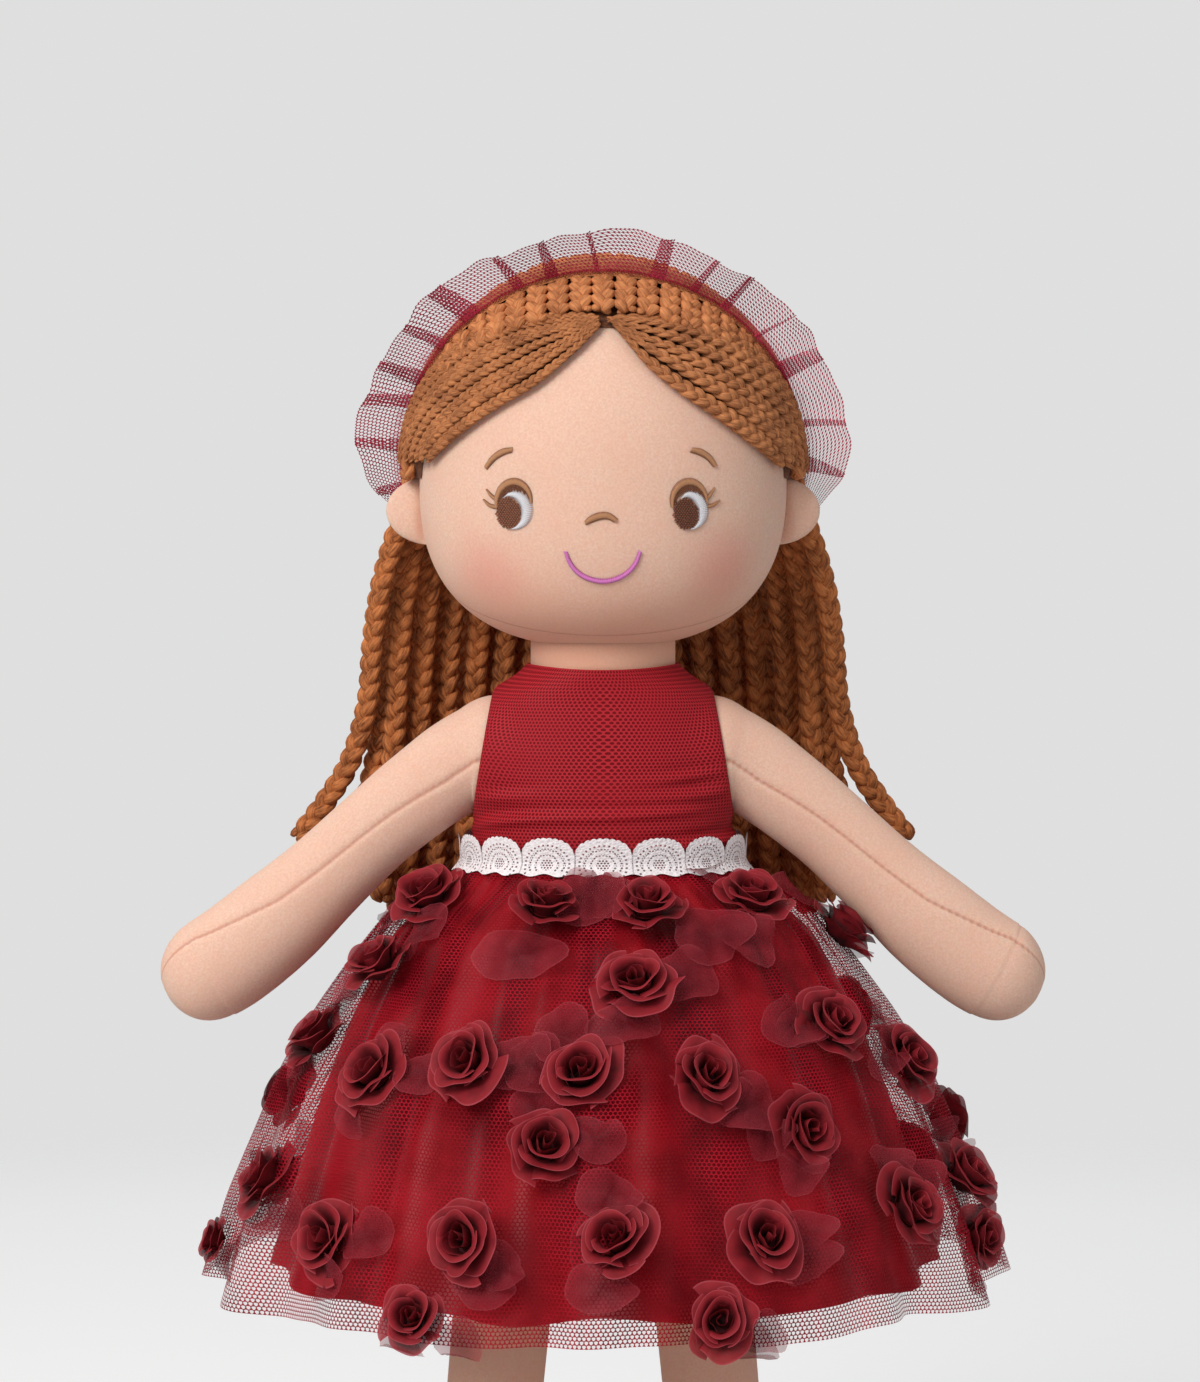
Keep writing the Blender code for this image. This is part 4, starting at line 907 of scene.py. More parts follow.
def make_headdress(wear):
    """A net ruffle with flat triple-folded pleats on a gathered band of the same net."""
    light, dark = linear(186, 58, 82), linear(150, 34, 56)
    net = net_material("ruffle_net", 0.00122, light, -0.6, dark, 0.0, 0.22, 0.005)
    dense = net_material("ruffle_gather", 0.0011, linear(150, 26, 42), -0.8, linear(112, 14, 28), 0.0, 0.3)
    near, far, sway = pleat_turns(wear.pleats)
    along = lengths_along(band_line(near, 0.0066)[0])
    rows, uvs = [], []
    for share in np.linspace(0.0, 1.0, 16):
        turns = near + (far - near) * share
        points, out, lean = band_line(turns, 0.006)
        to_end = np.clip((BAND_REACH - np.abs(turns)) / math.radians(26.0), 0.0, 1.0)
        wave = 0.0011 * (0.5 + 0.5 * share) * sway + 0.0014 * share * np.sin(turns * 7.0 + 0.6)
        uneven = 1.0 + 0.04 * np.sin(turns * 9.0 + 1.0) + 0.03 * np.sin(turns * 23.0)
        uneven = uneven + 0.02 * np.sin(turns * 41.0 + 2.0)
        length = (wear.width + 0.0006) * share * np.sin(to_end * QUARTER) ** 0.7 * uneven
        forwards = -0.004 * share**1.5
        rows.append(points + out * length[:, None] + lean * (wave + forwards)[:, None])
        uvs.append(join(along * (1.0 + 0.1 * share), wear.width * share))
    ruffle = build("net_ruffle", [grid(rows, uv=uvs)], net)
    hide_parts("headband_ruffle")
    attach(ruffle, "head")
    turns = np.linspace(-BAND_REACH, BAND_REACH, 520)
    points, out, lean = band_line(turns, 0.0058)
    gathers = 1.0 + 0.16 * np.sin(turns * 61.0) + 0.1 * np.sin(turns * 37.0 + 1.0)
    narrow = np.clip((BAND_REACH - np.abs(turns)) / math.radians(5.0), 0.15, 1.0)
    size = (gathers * narrow)[:, None, None]
    uv = uv_grid(np.linspace(0.0, 0.011, 13), turns * 0.065)[..., ::-1]
    surface = tube(points, circle(12), (out[:, None], 0.0008 * size), (lean, 0.0007 * size), uv)
    band = build("gathered_band", [surface], dense)
    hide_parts("headband")
    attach(band, "head")


# Head and face


def make_head(head):
    """A stuffed oval, slightly fuller at the cheeks, open underneath round the neck's plug."""
    around = circle(128)
    sizes, drop, height = head_sizes()
    rows = []
    for level in np.linspace(0.0, QUARTER, 40, endpoint=False):
        x = sizes[0] * math.sin(level) * np.cos(around)
        y = sizes[1] * math.sin(level) * np.sin(around)
        rows.append(join(x, y, height + sizes[2] * math.cos(level)))
    neck = head.neck_radius + 0.0005
    tries = np.linspace(0.0, 0.999, 700)[:, None]
    level, lean = head_level(height - drop * tries)
    x = sizes[0] * np.sqrt(level) * np.cos(around)
    y = sizes[1] * np.sqrt(level) * np.sin(around) - lean
    last = tries[np.argmax(np.hypot(x, y) < neck, axis=0), 0]
    for share in np.sin(np.linspace(0.0, QUARTER, 52)):
        z = height - drop * last * share
        level, lean = head_level(z)
        x = sizes[0] * np.sqrt(level) * np.cos(around)
        rows.append(join(x, sizes[1] * np.sqrt(level) * np.sin(around) - lean, z))
    rim = rows[-1]
    for narrower, up in ((0.0002, 0.0006), (0.0003, 0.003)):
        ring = rim.copy()
        ring[:, :2] *= 1.0 - narrower / neck
        ring[:, 2] += up
        rows.append(ring)
    inner = rows[-1].copy()
    inner[:, 2] = 0.34515
    rows.append(inner)
    surface = grid(rows, True, False, True, flip=True)
    # The head's skin has rosy cheeks, its seam and painted shade under the chin.
    piece = build("stuffed_head", [surface], skin_material("velour_head", blush_and_chin_shade=True))
    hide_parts("head")
    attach(piece, "head")
    skin = skin_material("velour_ear")
    for name, side in SIDES.items():
        make_ear(name, side, skin)


def make_ear(name, side, skin):
    """A half-round stuffed ear with a dart: its front face dips along the line where it meets the head."""
    _, _, height = head_sizes()
    middle, half_width, half_height, half_thick = (0.0515, height - 0.0092), 0.0135, 0.0102, 0.0031
    around = circle(64)
    rows = []
    for level in np.linspace(0.02, math.pi - 0.02, 40):
        x = half_width * math.sin(level) * np.cos(around)
        z = half_height * math.cos(level)
        fold = 1.0 - 0.85 * np.exp(-(((x - 0.0015) / 0.0022) ** 2))
        y = half_thick * math.sin(level) * np.sin(around)
        y = np.where(y < 0.0, y * fold, y)
        rows.append(join(side * (middle[0] + x), y, middle[1] + z))
    piece = build(f"{name}_stuffed_ear", [closed(rows, flip=side > 0)], skin)
    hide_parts(f"{name}_ear")
    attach(piece, "head")


def stitches(ends, width, height, sides=5, rings=5):
    """One long mesh of stitches: each is a low arch of thread from one point of the face to another.

    ends holds (x, z) pairs, so its shape is (count, 2, 2). A stitch bulges by height in its middle.
    """
    parts = []
    t = np.linspace(0.0, 1.0, rings)
    around = circle(sides)
    bulge = np.sin(math.pi * t) ** 0.5
    size = (0.5 + 0.5 * bulge)[:, None, None]
    for start, end in np.asarray(ends, float):
        flat = start + (end - start) * t[:, None]
        centre, out = face_point(flat[:, 0], flat[:, 1], 0.00012)
        centre = centre + out * (height * bulge)[:, None]
        across = unit(np.cross(out, heading(centre)))
        wide, thick = (across[:, None], width / 2.0 * size), (out[:, None], width / 2.6 * size)
        parts.append(tube(centre, around, wide, thick))
    return parts


def satin_stroke(points, widths, spacing, slant):
    """Stitches laid side by side across a line on the face, from its one edge to its other."""
    line = smooth_path(np.column_stack((np.array(points), np.zeros(len(points)), widths)), spacing)
    middle, width = line[:, :2], line[:, 3:]
    ahead = heading(middle)
    across = np.column_stack((-ahead[:, 1], ahead[:, 0])) + ahead * slant
    return np.stack((middle - across * width / 2.0, middle + across * width / 2.0), axis=1)


def filled_oval(centre, half, angle, length, spacing, keep, rng):
    """Rows of short stitches at one angle that fill the part of an oval that keep allows."""
    ahead = np.array((math.cos(angle), math.sin(angle)))
    across = np.array((-ahead[1], ahead[0]))
    ends = []
    for i, a in enumerate(np.arange(-1.3 * max(half), 1.3 * max(half), spacing)):
        for b in np.arange(-1.3 * max(half), 1.3 * max(half), length * 1.02) + (i % 3) * length / 3.0:
            start = centre + across * a + ahead * (b + 0.12 * length * rng.random())
            end = start + ahead * length
            points = (start, (start + end) / 2.0, end)
            if all((((p - centre) / half) ** 2).sum() < 1.0 and keep(p) for p in points):
                ends.append((start, end))
    return ends


# Each eye's middle, its iris's middle and its two lashes, on the face in metres.
EYES = {
    "right": (
        (-0.0257, 0.3707), (-0.0272, 0.368),
        (((-0.0306, 0.3718), (-0.0322, 0.373), (-0.0336, 0.3748)),
         ((-0.031, 0.3697), (-0.0328, 0.3703), (-0.0345, 0.3719))),
    ),
    "left": (
        (0.0248, 0.3707), (0.0238, 0.3677),
        (((0.03, 0.3722), (0.0311, 0.3736), (0.0321, 0.3752)),
         ((0.0302, 0.3699), (0.0318, 0.3703), (0.0336, 0.3716))),
    ),
}
LASH_WIDTHS = (0.0013, 0.0011, 0.0005)
LID_WIDTHS = (0.0009, 0.0015, 0.002, 0.0023, 0.0024, 0.0022, 0.0018, 0.0013, 0.0007)
# Brows, nose and mouth: thread, points, widths, and the stitches' spacing, slant, width and height.
STROKES = (
    ("tan", ((-0.0338, 0.3812), (-0.0317, 0.3838), (-0.029, 0.3855), (-0.0262, 0.3861)),
     (0.0014, 0.0019, 0.0021, 0.0016), 0.00032, 0.35, 0.00044, 0.00055),
    ("tan", ((0.0254, 0.3861), (0.0281, 0.3855), (0.0307, 0.3838), (0.0323, 0.3816)),
     (0.0016, 0.0021, 0.0019, 0.0014), 0.00032, 0.35, 0.00044, 0.00055),
    ("tan", ((-0.005, 0.365), (-0.0034, 0.3661), (-0.0008, 0.367), (0.0016, 0.3669), (0.0036, 0.3657)),
     (0.0013, 0.0021, 0.0023, 0.0021, 0.0016), 0.00032, 0.35, 0.00044, 0.0006),
    ("pink", ((-0.0107, 0.3567), (-0.0096, 0.3538), (-0.0076, 0.3512), (-0.0044, 0.3492), (0.0, 0.3483),
              (0.0043, 0.3492), (0.0075, 0.3512), (0.0095, 0.3538), (0.0106, 0.3567)),
     (0.0011, 0.0013, 0.0014, 0.0015, 0.0015, 0.0015, 0.0014, 0.0013, 0.0011),
     0.00056, 0.6, 0.00064, 0.0006),
)
# Each thread's material, light colour and dark colour, 0 to 255.
THREADS = {
    "tan": ("thread_tan", (196, 140, 98), (142, 92, 60)),
    "white": ("thread_white", (240, 238, 242), (214, 212, 220)),
    "pink": ("thread_pink", (232, 134, 208), (196, 96, 170)),
    "dark": ("thread_dark_brown", (140, 82, 50), (90, 46, 26)),
    "iris_tan": ("thread_iris_right", (186, 118, 86), (104, 56, 36)),
    # Dark thread for the painted shade under the iris stitches.
    "ground": ("thread_ground", (96, 52, 34), (70, 34, 20)),
    "iris_dark": ("thread_iris_left", (150, 88, 60), (80, 40, 24)),
}


def make_eye(side, groups, rng):
    """Adds one eye's stitches to the threads: iris, shade under the lid, white, lid and lashes."""
    middle, iris, lashes = EYES[side]
    eye, iris = np.array(middle), np.array(iris)
    half_iris, half_ball, half_lid = np.array(((0.0037, 0.0047), (0.0053, 0.0055), (0.0051, 0.0062)))
    ball = eye + (0.0004, -0.002)
    # Painted shade: a dark layer of fine stitches under the iris that shows in the gaps between the iris
    # stitches.
    ends = filled_oval(iris, half_iris, 1.0, 0.001, 0.00036, lambda p: True, rng)
    groups["ground"] += stitches(ends, 0.00044, 0.00016, 4, 4)
    ends = filled_oval(iris, half_iris + 0.0002, 1.0, 0.00062, 0.00062, lambda p: True, rng)
    groups["iris_tan" if side == "right" else "iris_dark"] += stitches(ends, 0.00052, 0.0004)
    upper = filled_oval(eye, half_lid, 1.2, 0.001, 0.00034,
                        lambda p: (((p - ball) / half_ball) ** 2).sum() > 0.84 and p[1] > 0.37, rng)
    groups["dark"] += stitches(upper, 0.00044, 0.00024, 4, 4)
    angles = np.radians(np.linspace(112.0, -92.0, 50))
    ways = np.column_stack((np.cos(angles), np.sin(angles)))
    inner = iris + ways * half_iris * 0.98
    steps = unit(ways * half_iris)
    a = ((steps / half_ball) ** 2).sum(axis=1)
    b = 2.0 * (steps * (iris - ball) / half_ball**2).sum(axis=1)
    c = (((iris - ball) / half_ball) ** 2).sum() - 1.0
    outer = iris + steps * ((-b + np.sqrt(b * b - 4.0 * a * c)) / (2.0 * a))[:, None]
    to_end = np.minimum(math.radians(116.0) - angles, angles + math.radians(96.0))
    outer = inner + (outer - inner) * np.clip(to_end / math.radians(26.0), 0.35, 1.0)[:, None]
    groups["white"] += stitches(np.stack((inner, outer), axis=1), 0.00046, 0.0005)
    angles = np.radians(np.linspace(190.0, 2.0, 9))
    lid = eye + np.column_stack((np.cos(angles), np.sin(angles))) * half_lid
    groups["tan"] += stitches(satin_stroke(lid, LID_WIDTHS, 0.0003, 0.35), 0.00042, 0.00055)
    for lash in lashes:
        groups["tan"] += stitches(satin_stroke(lash, LASH_WIDTHS, 0.0003, 0.35), 0.0004, 0.00042)


def make_face():
    """Embroidery: tatami-filled irises, satin-stitched whites, lids, lashes, brows, nose and smile."""
    rng = np.random.default_rng(3)
    groups = {name: [] for name in THREADS}
    for side in EYES:
        make_eye(side, groups, rng)
    for thread, points, widths, spacing, slant, width, height in STROKES:
        groups[thread] += stitches(satin_stroke(points, widths, spacing, slant), width, height)
    for name, parts in groups.items():
        piece = build(f"embroidery_{name}", parts, thread_material(*THREADS[name]))
        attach(piece, "head")


# Body and limbs


# Rings of the body from the crotch to the neck: share of its height, half width, half depth, squareness.
BODY_RINGS = (
    (0.0, 0.0378, 0.0001, 2.0), (0.04, 0.0399, 0.005, 2.2), (0.12, 0.042, 0.015, 2.3),
    (0.2, 0.042, 0.021, 2.4), (0.31, 0.042, 0.025, 2.4), (0.43, 0.04025, 0.02475, 2.1),
    (0.525, 0.0385, 0.0245, 2.0), (0.546, 0.0385, 0.0245, 2.0), (0.66, 0.03675, 0.0245, 2.3),
    (0.79, 0.035, 0.023, 2.6), (0.905, 0.033, 0.0214, 2.5), (0.94, 0.0297, 0.0214, 2.4),
    (0.968, 0.0245, 0.0217, 2.2), (0.985, 0.0217, 0.0217, 2.05), (1.0, 0.0217, 0.0217, 2.0),
)


def body_ring(share, grow, around):
    """A ring of the body at a share of its height: an oval that is squarer over the chest and hips."""
    shares, widths, depths, squares = np.array(BODY_RINGS).T
    width, depth, square = (np.interp(share, shares, values) for values in (widths, depths, squares))
    x = (width + grow) * np.sign(np.cos(around)) * np.abs(np.cos(around)) ** (2.0 / square)
    y = (depth + grow) * np.sign(np.sin(around)) * np.abs(np.sin(around)) ** (2.0 / square)
    return join(x, y, BODY_LOW + BODY_TALL * share)


def make_body():
    """The stuffed torso, flattened to an edge at the hip seam, and the neck that plugs into the head."""
    around = circle(96)
    rows = [body_ring(share, -0.0006 if share < 0.98 else 0.0, around) for share in np.linspace(0.0, 1.0, 80)]
    for up in (0.004, 0.01, 0.0162):
        ring = rows[-1].copy()
        ring[:, 2] = BODY_LOW + BODY_TALL + 0.0046 + up
        rows.append(ring)
    # The body's skin, seen at the neck, carries painted shade.
    piece = build("stuffed_body", [closed(rows)], skin_material("velour_body", painted_shade=0.6))
    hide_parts("torso")
    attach(piece, "torso")


# The arm's middle line from the armhole to the hand: shares of its reach, its drop and its radius.
ARM_PATH = (
    (0.05, 0.032, 0.98), (0.115, 0.09, 0.9), (0.236, 0.212, 0.855), (0.357, 0.35, 0.83), (0.5, 0.53, 0.87),
    (0.64, 0.7, 0.97), (0.78, 0.85, 1.0), (0.88, 0.93, 0.99), (1.0, 1.0, 0.97),
)
# The arm seam: the length of a stitch, and its turn from the front at lengths along the arm.
STITCH_LENGTH = 0.0024
SEAM_PLACES = (0.0, 0.02, 0.04, 0.062, 0.081, 0.098, 0.11)
SEAM_TURNS = (-0.1, -0.12, 0.05, 0.18, 0.31, 0.6, 0.78)


def armhole(side):
    """The way straight out of an armhole and the middle of the arm's root in it."""
    outward = np.array((side * math.cos(ARM_TILT), 0.0, math.sin(ARM_TILT)))
    return outward, np.array((side * 0.0363, 0.0, 0.29691))


def make_arm(name, side, skin):
    """A stuffed arm with a mitten hand. A sewn seam runs down its front, drawn in at each stitch."""
    outward, root = armhole(side)
    full_reach, full_drop, full_radius, root_radius = 0.0955, 0.0715, 0.0156, 0.0172
    places = [(*(root - outward * 0.0066), root_radius), (*(root + outward * 0.0003), root_radius)]
    for reach, drop, radius in ARM_PATH:
        place = root + np.array((side * reach * full_reach, 0.0, -drop * full_drop))
        places.append((*place, radius * full_radius))
    path = smooth_path(places, 0.0006)
    centre, radius = path[:, :3], path[:, 3]
    along = np.arange(len(path)) * np.linalg.norm(centre[1] - centre[0])
    to_tip = along[-1] - along
    hand = 0.0152
    dome = np.sqrt(np.clip(2.0 * hand * to_tip - to_tip**2, 0.0, None) + 1e-9)
    radius = np.minimum(radius, dome + np.where(to_tip > hand, 1.0, 0.0))
    ahead = heading(centre)
    bend = np.clip((along - 0.006) / 0.014, 0.0, 1.0)[:, None]
    ahead = unit(outward * (1.0 - bend) + ahead * bend)
    front = np.array((0.0, -1.0, 0.0))
    upward = unit(np.cross(ahead, front) * (-side))
    seam = np.interp(along, SEAM_PLACES, SEAM_TURNS)
    close = np.array((0.022, 0.045, 0.075, 0.12))
    offsets = np.concatenate(([0.0], close, np.linspace(0.18, TURN - 0.18, 52), TURN - close[::-1]))
    from_seam = np.minimum(offsets, TURN - offsets)
    rows = []
    for i, place in enumerate(centre):
        stitch = 0.7 + 0.3 * math.cos(TURN * along[i] / STITCH_LENGTH)
        fade = min(1.0, to_tip[i] / 0.012)
        groove = 0.05 * stitch * np.exp(-((from_seam / 0.05) ** 2))
        dip = groove - 0.012 * np.exp(-(((from_seam - 0.16) / 0.09) ** 2))
        crease = 1.0 - dip * fade
        turn = offsets + seam[i]
        ring = front * np.cos(turn)[:, None] * 0.86 + upward[i] * np.sin(turn)[:, None]
        rows.append(place + ring * (radius[i] * crease)[:, None])
    wide = np.append(offsets, TURN)
    spread = np.where(wide > math.pi, wide - TURN, wide) * full_radius
    surface = closed(rows, uv_grid(spread, along), side < 0)
    piece = build(f"{name}_stuffed_arm", [surface], skin)
    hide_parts(f"{name}_arm")
    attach(piece, f"{name}_arm")


def make_leg(name, side, skin):
    """A stuffed leg, drawn in to a seam at the hip, that swells into a rounded foot standing flat."""
    down = np.array((side * math.sin(LEG_SPLAY), 0.0, -math.cos(LEG_SPLAY)))
    hip = np.array((side * 0.0244, 0.0, 0.1947))
    length = BODY_LOW / math.cos(LEG_SPLAY)
    ankle_height, heel_height, sole_edge = 0.03, 0.0215, 0.0135
    foot_half_width, toe_reach, heel_reach = 0.0155, 0.035, 0.029
    hip_half_width, calf_radius = 0.0118, 0.0149
    stretches = ((0.0, 0.12, 14), (0.13, 0.8, 60), (0.81, 0.998, 40))
    shares = np.concatenate([np.linspace(*stretch) for stretch in stretches])
    around = circle(72)
    low = np.interp(shares, (0.0, 0.17, 0.3, 0.5, 0.72, 0.8), (1.0, 1.02, 1.0, 0.97, 0.93, 0.93))
    rows = []
    for share, radius in zip(shares, low * calf_radius):
        place = hip + down * (share * length)
        spread = min(1.0, share / 0.07)
        wide = hip_half_width + spread * (radius - hip_half_width)
        back = min(radius, 0.0001 + 0.52 * share * length)
        z = place[2]
        foot = np.clip((ankle_height - z) / ankle_height, 0.0, 1.0)
        grown = 1.0 - (1.0 - foot) ** 2.2
        rounded = (1.0 - max(0.0, (sole_edge - z) / sole_edge) ** 4.0) ** 0.25
        rounded = max(rounded, 0.585)
        half_x = (wide + grown * (foot_half_width - wide)) * rounded
        toe = back + grown * (toe_reach - back)
        low_heel = 1.0 - (1.0 - np.clip((heel_height - z) / heel_height, 0.0, 1.0)) ** 2.6
        heel = back + low_heel * (heel_reach - back)
        y = np.where(np.sin(around) < 0.0, toe * rounded, heel * rounded) * np.sin(around)
        rows.append(join(place[0] + half_x * np.cos(around), y, z))
    rows[-1][:, 2] = 0.0002
    piece = build(f"{name}_stuffed_leg", [closed(rows, flip=True)], skin)
    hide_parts(f"{name}_leg")
    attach(piece, f"{name}_leg")


# Dress


# The bodice's cross wrinkles: level on the body, turn from the front, height, width and depth.
WRINKLES = (
    (0.585, 0.9, 0.013, 0.7, 0.0012), (0.6, -2.3, 0.01, 0.9, 0.0009), (0.7, 0.95, 0.015, 0.5, 0.0013),
    (0.655, 0.3, 0.011, 0.6, 0.0008), (0.64, -0.75, 0.012, 0.5, 0.0012), (0.74, 0.75, 0.011, 0.4, 0.0009),
    (0.62, 2.5, 0.012, 0.9, 0.001), (0.69, -2.9, 0.012, 0.7, 0.0009), (0.69, -0.95, 0.012, 0.35, 0.0009),
)


def cut_armholes(points):
    """Draws the cloth in to a round rim at each armhole, and says which points lie within the holes."""
    hidden = np.zeros(points.shape[:2], bool)
    for side in SIDES.values():
        outward, root = armhole(side)
        flat = points - root
        level = flat @ outward
        flat = flat - level[..., None] * outward
        reach = np.linalg.norm(flat * (1.0, 1.0 / 0.86, 1.0), axis=-1)
        near = level > -0.016
        inside = near & (reach < ARMHOLE_RADIUS)
        hidden |= inside & (reach < 0.015)
        rim = root + flat * (ARMHOLE_RADIUS / np.maximum(reach, 1e-6))[..., None] - outward * 0.0002
        beside = near & (level < 0.0) & (reach >= ARMHOLE_RADIUS)
        flare = np.where(beside, np.exp(-(((reach - ARMHOLE_RADIUS) / 0.0036) ** 2)), 0.0)
        points = points - outward * ((level + 0.0002) * flare)[..., None]
        points[inside] = rim[inside]
    return points, hidden


def make_bodice():
    """Net over satin, close round the body, with soft cross wrinkles and round armholes."""
    around = circle(240) - QUARTER
    shares = np.linspace(0.522, 0.986, 84)
    turn = (around + QUARTER + math.pi) % TURN - math.pi
    rows = []
    for share in shares:
        ring = body_ring(share, 0.001 + 0.0012 * max(0.0, (0.64 - share) / 0.118), around)
        ring[:, 2] += 0.0016 * np.abs(np.cos(around)) ** 2 * max(0.0, (share - 0.93) / 0.056)
        lift = np.zeros(len(around))
        for level, place, tall, wide, depth in WRINKLES:
            away = (turn - place + math.pi) % TURN - math.pi
            bend = level + 0.02 * away
            lift += 1.35 * depth * np.exp(-(((share - bend) / tall) ** 2) - (away / wide) ** 2)
            lift -= 0.8 * depth * np.exp(-(((share - bend - 1.9 * tall) / tall) ** 2) - (away / wide) ** 2)
        rows.append(ring + unit(ring * (1.0, 1.6, 0.0)) * lift[:, None])
    points, hidden = cut_armholes(np.array(rows))
    uv = uv_grid(np.linspace(0.0, 0.2, 241), shares * BODY_TALL)
    verts, quads, quad_uv, tris, tri_uv, slot = grid(points, True, uv=uv)
    keep = ~hidden.ravel()[quads].any(axis=1)
    surface = (verts, quads[keep], quad_uv[keep], tris, tri_uv, slot)
    bodice = build("dress_bodice", [surface], satin_material("bodice_satin", True))
    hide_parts("bodice")
    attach(bodice, "torso")


# The cloth gathered under the skirts at the waist, and how far the net lies out from the satin there.
WAIST_CLOTH, NET_GAP = 0.0022, 0.0009
# How each skirt spreads: share of the drop from the waist, share of the way out to the hem's width.
NET_PROFILE = (
    (0.0, 0.0), (0.028, 0.017), (0.07, 0.14), (0.124, 0.285), (0.237, 0.433), (0.357, 0.572), (0.502, 0.71),
    (0.655, 0.808), (0.8, 0.905), (1.0, 1.0),
)
SATIN_PROFILE = (
    (0.0, 0.0), (0.03, 0.01), (0.08, 0.1), (0.18, 0.35), (0.39, 0.56), (0.58, 0.71), (0.78, 0.84), (1.0, 1.0),
)


def skirt_point(turn, drop, layer, off=0.0, folds=True):
    """A point of a skirt: turn goes round it, drop from the waist (0) to the hem (1).

    The half width follows the profile from the waist to the hem; the folds are waves round the skirt that
    deepen down from the waist, with fine gathers that fade below it. The satin's folds ease again at the hem.
    """
    dress = bpy.context.scene.rag_doll_dress
    net = layer == "net"
    profile = np.array(NET_PROFILE if net else SATIN_PROFILE)
    hem, length = (dress.net_hem, dress.net_length) if net else (dress.satin_hem, dress.satin_length)
    waist = WAIST_WIDTH + WAIST_CLOTH + (NET_GAP if net else 0.0)
    turn, drop = np.broadcast_arrays(np.asarray(turn, float), np.asarray(drop, float))
    smooth = np.linspace(0.0, 1.0, 400)
    curve = np.interp(smooth, profile[:, 0], profile[:, 1])
    kernel = np.ones(25) / 25.0
    curve = np.convolve(np.pad(curve, 12, mode="reflect", reflect_type="odd"), kernel, mode="valid")
    spread = np.interp(drop, smooth, curve)
    width = waist + (hem - waist) * spread
    depth = width - (WAIST_WIDTH - WAIST_DEPTH) * (1.0 - drop)
    wave = np.zeros_like(turn)
    near_waist, start = np.exp(-((drop / 0.3) ** 2)), np.clip(drop * 14.0, 0.0, 1.0)
    if folds and net:
        wave = 0.0032 * drop**0.8 * np.cos(12.0 * turn + 0.9 * np.sin(2.0 * turn + 0.4))
        wave = wave + 0.0019 * drop * np.cos(17.0 * turn + 1.3) + 0.001 * drop * np.cos(31.0 * turn)
        wave = wave + 0.0009 * near_waist * np.sin(52.0 * turn) * start
    elif folds:
        wave = 0.0058 * drop**0.7 * np.cos(14.0 * turn + 0.6 * np.sin(3.0 * turn))
        wave = (wave + 0.0018 * drop * np.cos(9.0 * turn + 0.7)) * (1.0 - 0.5 * drop**3)
        wave = wave + 0.0006 * near_waist * np.sin(44.0 * turn) * start
    x = (width + wave + off) * np.cos(turn)
    y = (depth + wave + off) * np.sin(turn)
    uneven = 0.0012 * drop**2 * np.cos(9.0 * turn + 1.0) * (1.0 if folds else 0.0)
    z = dress.waist_height - drop * length + uneven
    return join(x, y, z)


def make_skirts():
    """The satin skirt and the net one over it, each in two halves."""
    satin = satin_material("skirt_satin", False)
    dress = bpy.context.scene.rag_doll_dress
    light, dark = linear(158, 20, 36), linear(116, 8, 22)
    net = net_material("skirt_net", dress.net_cell, light, -0.52, dark, 0.12, 0.2)
    for name, side in SIDES.items():
        start = QUARTER if side < 0 else -QUARTER
        turns = np.linspace(start, start + math.pi, 260)
        for layer, material, node, flat in (
            ("satin", satin, "underskirt", (0.3, 0.13)),
            ("net", net, "overskirt", (0.36, 0.15)),
        ):
            points = skirt_point(*np.meshgrid(turns, np.linspace(0.0, 1.0, 90)), layer)
            slant = np.linalg.norm(np.diff(points, axis=0), axis=-1).mean(axis=1)
            v = np.concatenate(([0.0], np.cumsum(slant)))
            from_front = turns - (1.5 * math.pi if side < 0 else -0.5 * math.pi)
            u = np.linalg.norm(points[..., :2], axis=-1).mean(axis=1)[:, None] * from_front
            uv = join(u, v[:, None])
            piece = build(f"{name}_{layer}_skirt", [grid(points, uv=uv, flip=True)], material)
            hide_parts(node)
            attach(piece, "torso")
            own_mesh(piece)


def make_lace():
    """White scalloped lace sewn over the waist seam; its lower edge lies on the gathers."""
    scallops, scallop_width, scallop_height = 16, 0.0136, 0.0051
    lowest, seam = 0.2622, 0.2676
    turns = circle(scallops * 36)
    phase = (turns * scallops / TURN) % 1.0
    phase = np.where(phase > 0.5, phase - 1.0, phase)
    top = seam + scallop_height * np.sqrt(np.clip(1.0 - (2.0 * np.abs(phase)) ** 2.4, 0.0, 1.0))
    top = top + 0.0004 * np.abs(np.sin(9.0 * math.pi * phase))
    bottom = lowest + 0.0004 * np.cos(turns * 2.0 * scallops)
    wide = np.append(phase, phase[0])
    rows, uvs = [], []
    dress = bpy.context.scene.rag_doll_dress
    for share in np.linspace(0.0, 1.0, 12):
        z = bottom + (top - bottom) * share
        drop = np.clip((dress.waist_height - z) / dress.net_length, 0.0, 1.0)
        ring = skirt_point(turns, drop, "net", 0.0012 + 0.0006 * share, folds=False)
        ring[:, 2] = z
        rows.append(ring)
        uvs.append(join(wide * scallop_width, np.append(z, z[0]) - lowest))
    lace = build("waist_lace_band", [grid(rows, True, uv=uvs)], lace_material("cotton_lace"))
    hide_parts("waist_lace")
    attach(lace, "torso")


# Roses


# Roses of the CAD model: turn from the front towards +X in degrees, drop as a share of the net skirt.
ROSE_PLACES = (
    (-66, 0.1), (-20, 0.11), (15, 0.11), (54, 0.1), (84, 0.19), (8, 0.265), (-61, 0.25),
    (-67, 0.42), (-45, 0.47), (-26, 0.43), (-4, 0.45), (19, 0.46), (51, 0.37), (69, 0.47),
    (35, 0.57), (-10, 0.6), (-63, 0.73), (-43, 0.82), (-20, 0.79), (2, 0.79), (24, 0.8),
    (52, 0.77), (75, 0.75), (-135, 0.35), (150, 0.6), (-165, 0.72), (120, 0.8),
)
